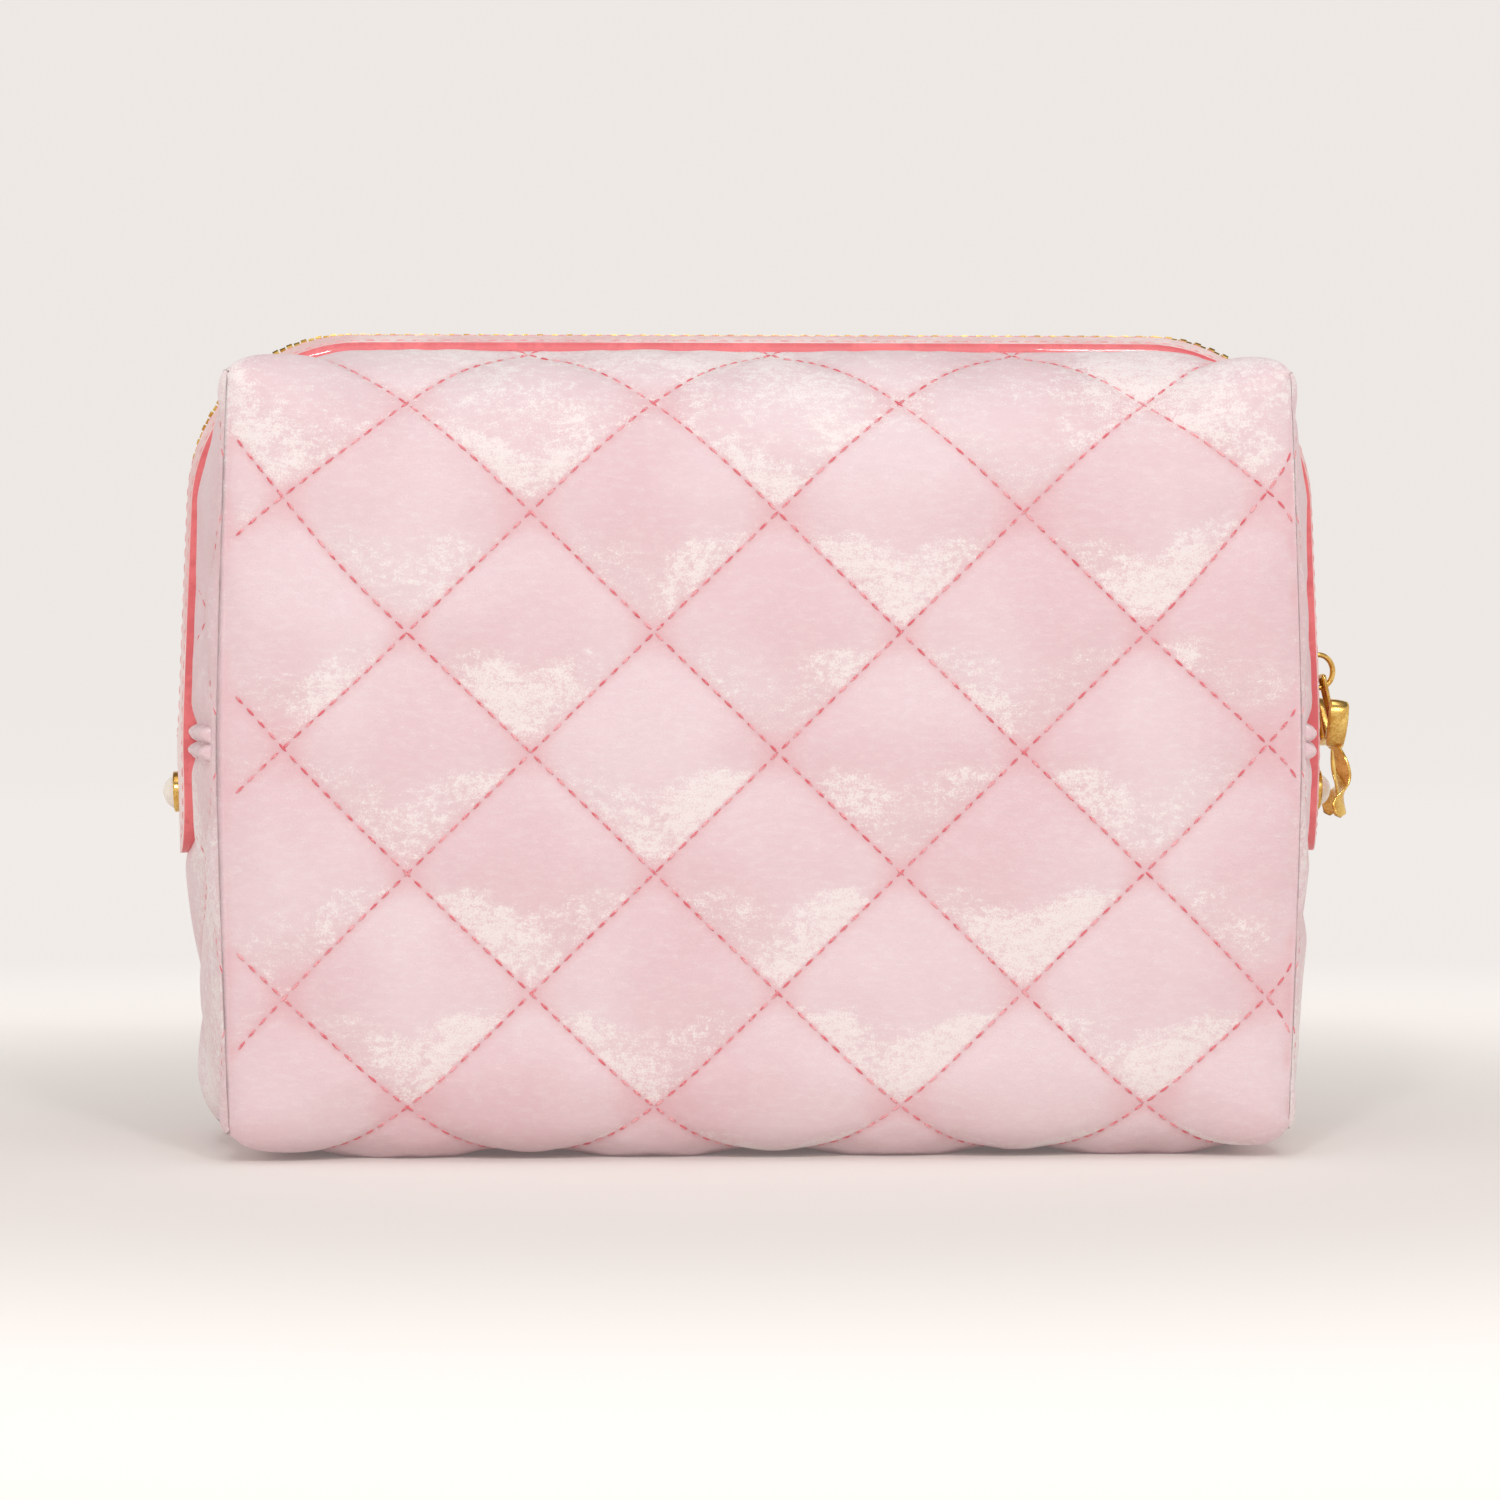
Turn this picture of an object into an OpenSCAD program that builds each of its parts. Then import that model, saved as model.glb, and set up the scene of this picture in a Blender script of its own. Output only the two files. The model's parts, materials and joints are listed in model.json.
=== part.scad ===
// Quilted velvet makeup bag: a boxy soft bag whose zip runs over the top and halfway down both sides.
// Z is up, X runs along the zip and -Y is the front. The origin is the middle of the base.

/* [Bag] */
// Width at the widest line of the sides, without the trim
bag_w = 239; // [199:1:287]
// Height of the quilted shell, without the trim
bag_h = 170.2; // [142:0.1:204.5]
// Depth between the flat front and back faces
bag_d = 94; // [78:0.1:113]
// Radius of the four corners along the zip
corner_r = 32; // [26.5:0.5:38.5]
// Radius of the puffed corners beside the trim, and of the corners at the base
puff_r = 14; // [8:1:18]
// How far the sides lean in above and below their widest line, in degrees
side_lean = 2.5; // [0.5:0.5:4]
// Radius of the soft edges along the top and bottom of the front and back
edge_r = 24; // [18:1:30]
// How far the top slopes down from the trim to those soft edges
edge_drop = 5; // [2:0.5:9]
// How far in from the widest line the upright corner seams stand
seam_in = 8.5; // [5:0.5:12]
// Radius of the upright corners
seam_r = 8; // [7:0.5:12]

/* [Cloth layers] */
// Thickness of the velvet
velvet_t = 1.2; // [0.8:0.1:2]
// Thickness of the wadding behind it
wadding_t = 2.8; // [1.5:0.1:3.5]
// Thickness of the satin lining
lining_t = 0.8; // [0.4:0.1:1]

/* [Mouth] */
// Height of the lower ends of the slit above the widest line of the sides
slit_rise = 2.9; // [1.5:0.1:12]
// Angle that the folding wedge of cloth leaves for each half of the mouth, in degrees
fold_angle = 24; // [18:1:28]

/* [Zip] */
// Half the width of the slit through the wadding and the lining
slit_half = 6.5; // [6:0.5:8]
// Reach of each zip tape from the middle line
tape_reach = 14; // [11:0.5:18]
// Thickness of the zip tapes
tape_t = 1; // [0.6:0.1:1.2]
// Gap between the two tapes
tape_gap = 1.2; // [0.8:0.1:1.6]
// Distance from one tooth to the next in the same row
tooth_pitch = 3.1; // [2.9:0.1:3.6]
// Thickness of a tooth along the zip
tooth_t = 1.25; // [1:0.05:1.3]
// Height of a tooth above the tape, and below it
tooth_rise = 1.2; // [0.8:0.1:1.2]
// How far a tooth's head reaches past the middle line
tooth_hook = 0.5; // [0.3:0.1:0.6]
// How far a tooth's legs reach out over the tape
tooth_reach = 4; // [3:0.1:4.4]

/* [Trim] */
// Thickness of the smooth trim round the zip
trim_t = 1.3; // [0.8:0.1:2]
// Half the width of the window in the trim
window_half = 6; // [6:0.5:8]
// Half the width of the trim over all
trim_half = 16; // [14:0.5:20]
// How far the round ends of the trim reach below the slit
tab_drop = 26; // [22:1:34]

/* [Pearl studs] */
// Radius of the metal cup that holds a pearl
cup_r = 4.3; // [3.6:0.1:5.5]
// Height of the cup above the trim
cup_h = 1.7; // [1.2:0.1:2.5]
// Wall of the cup
cup_wall = 0.45; // [0.3:0.05:0.8]
// How far the pearl stands above the trim
pearl_h = 4; // [3:0.1:4.4]
// Radius of the rivet's post
post_r = 1.5; // [1:0.1:2]
// Radius of the rivet's cap inside the bag
cap_r = 4; // [3:0.1:5]
// Thickness of that cap
cap_t = 0.9; // [0.6:0.1:1.5]
// How far the stud stands below the slit
stud_drop = 13; // [11:0.5:15]

/* [Slider and bow] */
// Length of the slider's plates
slider_l = 11; // [10:0.5:13]
// Half the width of the plates at the shoulders
slider_half = 5; // [4.6:0.1:5.5]
// Thickness of each plate
plate_t = 1.1; // [0.8:0.1:1.4]
// Height of the slider's middle above the slit
slider_rise = 12; // [10:0.5:15]
// Length of the crown that holds the bow
crown_l = 8.4; // [7.5:0.1:9.5]
// Height of the crown above the plate
crown_h = 3.6; // [3.2:0.1:4.5]
// Thickness of the crown
crown_t = 1.1; // [0.8:0.1:1.2]
// Width of the crown
crown_w = 2.4; // [2:0.1:3]
// Radius of the bow's eye wire
eye_r = 0.6; // [0.5:0.05:0.7]
// Height of the bow's loops
loop_h = 11; // [9:0.5:13]
// Reach of each loop from the knot's middle
loop_reach = 13; // [11:0.5:16]
// Thickness of the loops
loop_t = 3.8; // [3:0.1:5]
// Height of the knot
knot_h = 5.4; // [4.5:0.1:7]
// Length of the bow's tails below the middle of the knot
tail_l = 22.5; // [18:0.5:26]
// Thickness of the tails
tail_t = 1.3; // [1:0.1:1.8]
// How far the slider can travel up the straight side
slider_travel = 38; // [30:1:40]

/* [Hidden] */

velvet_rose = [0.95, 0.80, 0.82];
wadding_white = [0.95, 0.94, 0.92];
lining_rose = [0.93, 0.66, 0.69];
trim_rose = [0.96, 0.84, 0.83];
tape_rose = [0.95, 0.62, 0.65];
gold = [0.88, 0.70, 0.38];
pearl_white = [0.96, 0.94, 0.89];

far = bag_w;                                // longer than any cut needs
zip_flats = 24;                             // flats in each rounded corner of the zip's outline
edge_flats = 10;                            // flats in each rounded corner of the other outlines
shoulder = trim_half + 1;                   // where the top and sides start to slope away from the trim
mid_z = bag_h / 2;                          // height of the widest line
slit_z = mid_z + slit_rise;                 // lower ends of the slit
wall_t = velvet_t + wadding_t + lining_t;   // whole wall
layer_gap = 0.02;                           // keeps one cloth layer clear of the next
hole_gap = 0.1;                             // radial room in a hole for its post or pearl

// Centre of a corner's arc: the leaning side and the flat top both touch it
arc_z = bag_h - corner_r;
arc_x = bag_w / 2 - (arc_z - mid_z) * tan(side_lean) - corner_r / cos(side_lean);

// Half-width of the outline at height z along the leaning side
function side_x(z) = bag_w / 2 - abs(z - mid_z) * tan(side_lean);

// Points of a convex polygon with its edges moved in by inset and its corners rounded
function inward(a, b) = let (d = (b - a) / norm(b - a)) [-d[1], d[0]];
function round_corner(v, r, n0, n1, flats) =
    let (centre = v + r * (n0 + n1) / (1 + n0 * n1), start = atan2(-n0[1], -n0[0]), turn = acos(n0 * n1))
    r <= 0 ? [v] : [for (i = [0:flats])
        centre + r * [cos(start + turn * i / flats), sin(start + turn * i / flats)]];
function rounded(points, radii, inset, flats) = [for (i = [0:len(points) - 1])
    let (n = len(points), n0 = inward(points[(i + n - 1) % n], points[i]),
         n1 = inward(points[i], points[(i + 1) % n]))
    each round_corner(points[i] + inset * (n0 + n1) / (1 + n0 * n1), radii[i] - inset, n0, n1, flats)];

// Outline along the zip, in X and Z from the widest line: top_r rounds its upper corners
function outline(top_r, inset) = let (w = bag_w / 2, t = side_x(bag_h), h = bag_h / 2)
    rounded([[w, 0], [t, h], [-t, h], [-w, 0], [-t, -h], [t, -h]],
            [0, top_r, top_r, 0, puff_r, puff_r], inset, zip_flats);
// Outline across the bag, in Y and Z from the widest line
function across(inset) = let (d = bag_d / 2, f = shoulder, h = bag_h / 2, e = bag_h / 2 - edge_drop)
    rounded([[d, -h], [d, e], [f, h], [-f, h], [-d, e], [-d, -h]],
            [edge_r, edge_r, 0, 0, edge_r, edge_r], inset, edge_flats);
// Outline from above, in X and Y
function plan(inset) = let (w = bag_w / 2, d = bag_d / 2, f = shoulder, s = bag_w / 2 - seam_in)
    rounded([[w, -f], [w, f], [s, d], [-s, d], [-w, f], [-w, -f], [-s, -d], [s, -d]],
            [0, 0, seam_r, seam_r, 0, 0, seam_r, seam_r], inset, edge_flats);

// Extrudes a shape in X and Z from y0 to y1
module along_y(y0, y1) {
    translate([0, y1, mid_z]) rotate([90, 0, 0]) linear_extrude(y1 - y0) children();
}
// Ring between two insets of the outline along the zip
module band(outer, inner, y0, y1) {
    along_y(y0, y1) difference() {
        polygon(outline(corner_r, outer));
        polygon(outline(corner_r, inner));
    }
}

// The bag's soft solid shape, drawn in by inset: its corners puff out beside the trim
module form(inset) {
    d = bag_d / 2;
    puff_y = shoulder + inset;
    intersection() {
        union() {
            along_y(-d, d) polygon(outline(corner_r, inset));
            along_y(-d, -puff_y) polygon(outline(puff_r, inset));
            along_y(puff_y, d) polygon(outline(puff_r, inset));
        }
        translate([-far, 0, mid_z]) rotate([90, 0, 90]) linear_extrude(2 * far) polygon(across(inset));
        linear_extrude(2 * bag_h, center = true) polygon(plan(inset));
    }
}

// One cloth layer of the whole bag, from outer to inner inset, holed for the stud rivets
module layer(outer, inner) {
    difference() {
        form(outer);
        form(inner);
        both_sides() at_stud() post_cut();
    }
}
module post_cut() {
    translate([-2 * wall_t, 0, 0]) rotate([0, 90, 0]) cylinder(r = post_r + hole_gap, h = 4 * wall_t, $fn = 32);
}

// The three stretches of the shell: the tub below, the folding wedge, and one half of the mouth
module tub_space() {
    drop = far * tan(fold_angle);
    translate([-far, 0, 0]) rotate([90, 0, 90]) linear_extrude(2 * far)
        polygon([[-far, -far], [far, -far], [far, slit_z - drop], [0, slit_z], [-far, slit_z - drop]]);
}
module fold_space() {
    drop = far * tan(fold_angle);
    translate([-far, 0, 0]) rotate([90, 0, 90]) linear_extrude(2 * far)
        polygon([[0, slit_z], [-far, slit_z], [-far, slit_z - drop]]);
}
module mouth_space(from_y) {
    translate([-far, -far - from_y, slit_z]) cube([2 * far, far, far]);
}

module both_sides() {
    children();
    mirror([1, 0, 0]) children();
}
module to_back() {
    mirror([0, 1, 0]) children();
}

// Insets of the three layers
velvet_in = velvet_t;
wadding_in = velvet_t + wadding_t;

module velvet() { layer(0, velvet_in); }
module wadding() { layer(velvet_in + layer_gap, wadding_in); }
module lining() { layer(wadding_in + layer_gap, wall_t); }

module velvet_lower() { color(velvet_rose) intersection() { velvet(); tub_space(); } }
module velvet_fold() { color(velvet_rose) intersection() { velvet(); fold_space(); } }
module velvet_mouth() {
    color(velvet_rose) intersection() { velvet(); mouth_space(tape_reach + hole_gap); }
}
module wadding_lower() { color(wadding_white) intersection() { wadding(); tub_space(); } }
module wadding_fold() { color(wadding_white) intersection() { wadding(); fold_space(); } }
module wadding_mouth() { color(wadding_white) intersection() { wadding(); mouth_space(slit_half); } }
module lining_lower() { color(lining_rose) intersection() { lining(); tub_space(); } }
module lining_fold() { color(lining_rose) intersection() { lining(); fold_space(); } }
module lining_mouth() { color(lining_rose) intersection() { lining(); mouth_space(slit_half); } }

// Smooth trim: a long strip on each half of the mouth, and a round tab below each end of the slit
module trim_strip() {
    color(trim_rose) intersection() {
        band(-trim_t, 0, -trim_half, -window_half);
        mouth_space(0);
    }
}
module trim_tab() {
    color(trim_rose) difference() {
        intersection() {
            band(-trim_t, 0, -trim_half, trim_half);
            tub_space();
            tab_space();
        }
        at_stud() post_cut();
    }
}
module tab_space() {
    round_z = slit_z - tab_drop + trim_half;
    translate([0, 0, round_z]) rotate([0, 90, 0]) cylinder(r = trim_half, h = far, $fn = 64);
    translate([0, -trim_half, round_z]) cube([far, 2 * trim_half, far]);
}

// Zip tape of the front half; its teeth and stops clamp its inner edge
module tape() {
    color(tape_rose) intersection() {
        band(0, tape_t, -tape_reach, -tape_gap / 2);
        mouth_space(0);
    }
}

// Lengths along the zip from the slit's right-hand end: straight side, corner, top, corner, straight side
side_l = (arc_z + corner_r * sin(side_lean) - slit_z) / cos(side_lean);
arc_l = corner_r * (90 - side_lean) * PI / 180;
top_l = 2 * arc_x;
zip_l = 2 * side_l + 2 * arc_l + top_l;

// [x, z, turn] at length s along the zip; turn is the angle about Y that carries +Z onto the zip
function right_half(s) =
    s < side_l ? [side_x(slit_z + s * cos(side_lean)), slit_z + s * cos(side_lean), -side_lean]
    : s < side_l + arc_l
        ? let (a = side_lean + (s - side_l) / corner_r * 180 / PI)
            [arc_x + corner_r * cos(a), arc_z + corner_r * sin(a), -a]
    : [arc_x - (s - side_l - arc_l), bag_h, -90];
function along_zip(s) =
    s <= zip_l / 2 ? right_half(s)
    : let (p = right_half(zip_l - s)) [-p[0], p[1], -180 - p[2]];

module at_zip(s) {
    p = along_zip(s);
    translate([p[0], 0, p[1]]) rotate([0, p[2], 0]) children();
}

// A tooth of the front row, clamped on the tape: X is outward from the bag, Z runs along the zip
module tooth() {
    room = hole_gap / 2;
    top = tooth_rise;
    under = -tape_t - tooth_rise;
    bevel = 0.35;
    translate([0, 0, -tooth_t / 2]) linear_extrude(tooth_t) polygon([
        [top, -tooth_reach + bevel], [top, tooth_hook - bevel], [top - bevel, tooth_hook],
        [under + bevel, tooth_hook], [under, tooth_hook - bevel], [under, -tooth_reach + bevel],
        [under + bevel, -tooth_reach], [-tape_t - room, -tooth_reach],
        [-tape_t - room, -tape_gap / 2 + room], [room, -tape_gap / 2 + room],
        [room, -tooth_reach], [top - bevel, -tooth_reach]]);
}

stop_l = 2.4;                                     // length of a zip stop along the zip
stop_start = 3.5;                                 // from the slit's end to a stop
left_start = stop_start + stop_l + 1.3;           // from the slit's left end to the last tooth
wedge_l = 3;                                      // stretch of the slider that its wedge fills
right_start = slider_rise - slider_l / 2 + wedge_l;
teeth_run = zip_l - left_start - right_start;
teeth_n = floor(teeth_run / tooth_pitch);         // teeth in a row

slider_teeth_n = ceil(slider_travel / tooth_pitch) + 2; // teeth in the stretch that the slider parts

// Teeth of the front row from number first to last, along the zip by shift of a pitch
module teeth(first, last, shift) {
    color(gold) for (i = [first:last])
        at_zip(right_start + tooth_t / 2 + (i + shift) * tooth_pitch) tooth();
}

module zip_stops() {
    room = hole_gap / 2;
    reach = tooth_reach - 0.6;
    rise = tooth_rise - 0.3;
    color(gold) for (s = [stop_start + stop_l / 2, zip_l - stop_start - stop_l / 2]) at_zip(s)
        translate([0, 0, -stop_l / 2]) linear_extrude(stop_l) polygon([
            [rise, -reach], [rise, -0.1], [-tape_t - rise, -0.1], [-tape_t - rise, -reach],
            [-tape_t - room, -reach], [-tape_t - room, -tape_gap / 2 + room],
            [room, -tape_gap / 2 + room], [room, -reach]]);
}

// Pearl stud on the right-hand tab: X is outward, starting from the shell's surface
stud_z = slit_z - stud_drop;
module at_stud() {
    translate([side_x(stud_z), 0, stud_z]) rotate([0, side_lean, 0]) children();
}
cup_floor = 0.5;
pearl_r = cup_r - cup_wall - hole_gap / 2;
module stud_cup() {
    color(gold) at_stud() translate([trim_t, 0, 0]) rotate([0, 90, 0]) difference() {
        cylinder(r = cup_r, h = cup_h, $fn = 64);
        translate([0, 0, cup_floor]) cylinder(r = cup_r - cup_wall, h = cup_h, $fn = 64);
    }
}
module pearl() {
    color(pearl_white) at_stud() translate([trim_t, 0, 0]) rotate([0, 90, 0]) intersection() {
        translate([0, 0, pearl_h - pearl_r]) sphere(r = pearl_r, $fn = 64);
        translate([0, 0, cup_floor]) cylinder(r = pearl_r, h = pearl_h, $fn = 64);
    }
}
module stud_rivet() {
    color(gold) at_stud() rotate([0, 90, 0]) {
        translate([0, 0, -wall_t - hole_gap]) cylinder(r = post_r, h = wall_t + hole_gap + trim_t, $fn = 32);
        translate([0, 0, -wall_t - hole_gap - cap_t]) cylinder(r = cap_r, h = cap_t, $fn = 48);
    }
}

// Slider: X is outward from the zip's tape, Z runs up the zip, and the wedge end is at the bottom
module at_slider() { at_zip(slider_rise) children(); }
teeth_room = 0.3;                                 // between the teeth and each plate
lip_t = 0.2;                                      // how far a plate's rim reaches in towards the teeth
plate_x = tooth_rise + teeth_room;                // inner face of the outer plate
under_x = -tape_t - tooth_rise - teeth_room;      // inner face of the inner plate
plate_top = plate_x + plate_t;
narrow_half = slider_half - 0.8;
wedge_half = 1.6;
web_half = tape_gap / 2 - hole_gap;               // the web that joins the plates between the tapes

// Plate in Z and Y: shoulders at the bottom, narrower at the top
module plate_outline() {
    h = slider_l / 2;
    w = slider_half;
    n = narrow_half;
    polygon([[-h, -w + 1.6], [-h + 1.2, -w], [-h + 4.2, -w], [h - 1, -n], [h, -n + 1],
             [h, n - 1], [h - 1, n], [-h + 4.2, w], [-h + 1.2, w], [-h, w - 1.6]]);
}
// Wedge in Z and Y, pointed at both ends
module wedge_outline(half) {
    foot = -slider_l / 2;
    polygon([[foot + 0.5, 0], [foot + wedge_l - 1.2, -half], [foot + wedge_l - 0.3, 0],
             [foot + wedge_l - 1.2, half]]);
}
// Lays a Z and Y outline on the plane X = x0, and makes it thick to x1
module upright(x0, x1) {
    translate([x0, 0, 0]) rotate([0, 90, 0]) mirror([1, 0, 0]) linear_extrude(x1 - x0) children();
}
module rims(x0) {
    rim = 0.9;
    upright(x0, x0 + lip_t) difference() {
        plate_outline();
        square([slider_l + 1, 2 * (narrow_half - rim)], center = true);
    }
}
module slider_body() {
    color(gold) at_slider() {
        upright(plate_x, plate_top) plate_outline();
        rims(plate_x - lip_t);
        upright(under_x - plate_t, under_x) plate_outline();
        rims(under_x);
        upright(teeth_room, plate_x) wedge_outline(wedge_half);
        upright(under_x, -tape_t - teeth_room) wedge_outline(wedge_half);
        upright(-tape_t - teeth_room, teeth_room) wedge_outline(web_half);
    }
}

// Arched crown on the outer plate
module half_ellipse(a, b) {
    polygon([for (i = [0:24]) [b * sin(i * 7.5), -a * cos(i * 7.5)]]);
}
module slider_crown() {
    color(gold) at_slider() translate([plate_top, crown_w / 2, 0]) rotate([90, 0, 0]) linear_extrude(crown_w)
        difference() {
            half_ellipse(crown_l / 2, crown_h);
            half_ellipse(crown_l / 2 - crown_t, crown_h - crown_t);
        }
}

// Bow puller: its eye hangs in the crown, and its tails hang down past the pearl
eye_half = crown_w / 2 + 1;                       // from the middle to an eye leg
eye_out = plate_top + 0.3 + eye_r;                // eye bar from the tape's plane
eye_up = -1.6;                                    // eye bar from the slider's middle
slider_at = along_zip(slider_rise);
eye_x = slider_at[0] + eye_out * cos(side_lean) - eye_up * sin(side_lean);
eye_z = slider_at[1] + eye_out * sin(side_lean) + eye_up * cos(side_lean);
tail_x = side_x(stud_z) + trim_t + pearl_h + 0.4; // inner face of the tails
bow_x = tail_x + tail_t / 2;                      // middle of the loops and the knot
knot_z = eye_z - eye_r - 1.4 - loop_h / 2;

module bow_puller() {
    knot_t = loop_t + 0.6;
    color(gold) {
        eye();
        both_ways() bow_loop();
        both_ways() bow_tail();
        translate([bow_x - knot_t / 2, -knot_h / 2, knot_z - knot_h / 2]) cube([knot_t, knot_h, knot_h]);
    }
}
module both_ways() {
    children();
    to_back() children();
}
// Bar through the crown, with a leg on each side down to the knot
module eye() {
    leg = [bow_x - eye_x, knot_z - eye_z];
    translate([eye_x, 0, eye_z]) {
        rotate([90, 0, 0]) cylinder(r = eye_r, h = 2 * eye_half, center = true, $fn = 24);
        both_ways() translate([0, eye_half, 0]) {
            sphere(r = eye_r, $fn = 24);
            rotate([0, atan2(leg[0], leg[1]), 0]) cylinder(r = eye_r, h = norm(leg), $fn = 24);
        }
    }
}
// Lays a Y and Z outline, measured from the knot's middle, on the plane X = x0
module on_bow(x0, thick) {
    translate([x0, 0, knot_z]) rotate([90, 0, 90]) linear_extrude(thick) children();
}
// Teardrop ring of the front loop
module bow_loop() {
    round_r = loop_h / 2;
    round_y = loop_reach - round_r;
    ring = 2.2;
    on_bow(bow_x - loop_t / 2, loop_t) difference() {
        union() {
            translate([-round_y, 0]) circle(r = round_r, $fn = 48);
            polygon([[-round_y, round_r], [-round_y, -round_r], [0, -1.6], [0, 1.6]]);
        }
        translate([-round_y, 0]) circle(r = round_r - ring, $fn = 40);
    }
}
// Flat tail that leaves the knot and spreads to the front, with a notched end
module bow_tail() {
    spread = 8.5;
    half = 2.4;
    on_bow(tail_x, tail_t) polygon([[-0.3, -1], [-2.6, -1], [-spread - half, -tail_l + 2],
        [-spread, -tail_l + 3], [-spread + half, -tail_l]]);
}

velvet_lower();
velvet_fold();  // velvet_fold_front
to_back() velvet_fold();  // velvet_fold_back
velvet_mouth();  // velvet_front
to_back() velvet_mouth();  // velvet_back
wadding_lower();
wadding_fold();  // wadding_fold_front
to_back() wadding_fold();  // wadding_fold_back
wadding_mouth();  // wadding_front
to_back() wadding_mouth();  // wadding_back
lining_lower();
lining_fold();  // lining_fold_front
to_back() lining_fold();  // lining_fold_back
lining_mouth();  // lining_front
to_back() lining_mouth();  // lining_back
mirror([1, 0, 0]) trim_tab();  // trim_tab_left
trim_tab();  // trim_tab_right
trim_strip();  // trim_front
to_back() trim_strip();  // trim_back
tape();  // tape_front
to_back() tape();  // tape_back
teeth(slider_teeth_n, teeth_n - 1, 0);  // teeth_front
to_back() teeth(slider_teeth_n, teeth_n - 1, 0.5);  // teeth_back
teeth(0, slider_teeth_n - 1, 0);  // slider_teeth_front
to_back() teeth(0, slider_teeth_n - 1, 0.5);  // slider_teeth_back
zip_stops();  // zip_stops_front
to_back() zip_stops();  // zip_stops_back
mirror([1, 0, 0]) stud_cup();  // stud_cup_left
stud_cup();  // stud_cup_right
mirror([1, 0, 0]) pearl();  // pearl_left
pearl();  // pearl_right
mirror([1, 0, 0]) stud_rivet();  // stud_rivet_left
stud_rivet();  // stud_rivet_right
slider_body();
slider_crown();
bow_puller();
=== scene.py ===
"""Quilted velvet makeup bag with a trimmed metal zip, pearl studs and a bow puller.

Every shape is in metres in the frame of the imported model: X along the bag, -Y the front, +Z up.
Sizes in the classes are in millimetres, and MM turns them into metres where a mesh is made.
"""

import json
import logging
from dataclasses import dataclass, field
from enum import Enum

import bpy
import numpy as np
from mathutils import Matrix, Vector


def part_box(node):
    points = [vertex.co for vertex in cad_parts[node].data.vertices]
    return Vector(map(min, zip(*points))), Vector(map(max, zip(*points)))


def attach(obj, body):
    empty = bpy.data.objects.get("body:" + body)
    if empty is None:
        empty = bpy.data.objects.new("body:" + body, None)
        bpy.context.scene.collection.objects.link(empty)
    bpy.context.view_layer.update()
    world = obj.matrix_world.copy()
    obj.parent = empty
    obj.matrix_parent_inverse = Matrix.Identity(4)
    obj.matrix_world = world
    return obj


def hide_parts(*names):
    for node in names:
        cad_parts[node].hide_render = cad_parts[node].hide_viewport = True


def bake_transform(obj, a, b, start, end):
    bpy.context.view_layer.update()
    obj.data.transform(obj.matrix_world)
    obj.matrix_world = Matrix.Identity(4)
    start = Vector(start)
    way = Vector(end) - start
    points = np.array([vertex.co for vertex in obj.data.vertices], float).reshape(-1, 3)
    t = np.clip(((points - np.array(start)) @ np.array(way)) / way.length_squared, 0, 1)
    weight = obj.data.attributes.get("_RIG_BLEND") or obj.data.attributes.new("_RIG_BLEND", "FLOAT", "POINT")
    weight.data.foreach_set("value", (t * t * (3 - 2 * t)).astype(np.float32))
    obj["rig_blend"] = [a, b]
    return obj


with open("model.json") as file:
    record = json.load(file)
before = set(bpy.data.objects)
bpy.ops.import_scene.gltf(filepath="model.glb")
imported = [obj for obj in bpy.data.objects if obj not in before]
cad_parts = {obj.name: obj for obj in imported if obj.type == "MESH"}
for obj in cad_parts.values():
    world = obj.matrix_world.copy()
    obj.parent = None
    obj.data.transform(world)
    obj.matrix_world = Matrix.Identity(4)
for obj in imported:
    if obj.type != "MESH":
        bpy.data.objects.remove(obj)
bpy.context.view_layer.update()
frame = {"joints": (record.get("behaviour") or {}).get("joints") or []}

MM = 0.001
SEED = 11
LOG = logging.getLogger("makeup_bag")

SHELL = "lower_shell"
SLIDER_BODY = "slider"
PULLER_BODY = "puller"

WALL_LEAN = 0.0437
CLOTH_FOLD_LOW = 58.0
CLOTH_FOLD_HIGH = 114.0


class Half(Enum):
    """The two halves of the bag, by the side of the zip that they lie on."""

    FRONT = -1
    BACK = 1

    @property
    def word(self) -> str:
        """The half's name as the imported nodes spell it."""
        return self.name.lower()

    @property
    def body(self) -> str:
        """The body that carries this half of the mouth."""
        return f"{self.word}_half"


# ---------------------------------------------------------------- colours and finishes


def linear(code: str) -> tuple[float, float, float, float]:
    """Turns a colour written as six hex digits into linear RGBA.

    Args:
        code: The colour, such as "f4d5da".

    Returns:
        Red, green, blue and alpha for a shader socket.
    """
    srgb = np.array([int(code[i : i + 2], 16) for i in (0, 2, 4)]) / 255.0
    low = srgb / 12.92
    high = ((srgb + 0.055) / 1.055) ** 2.4
    r, g, b = np.where(srgb <= 0.04045, low, high)
    return (float(r), float(g), float(b), 1.0)


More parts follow.
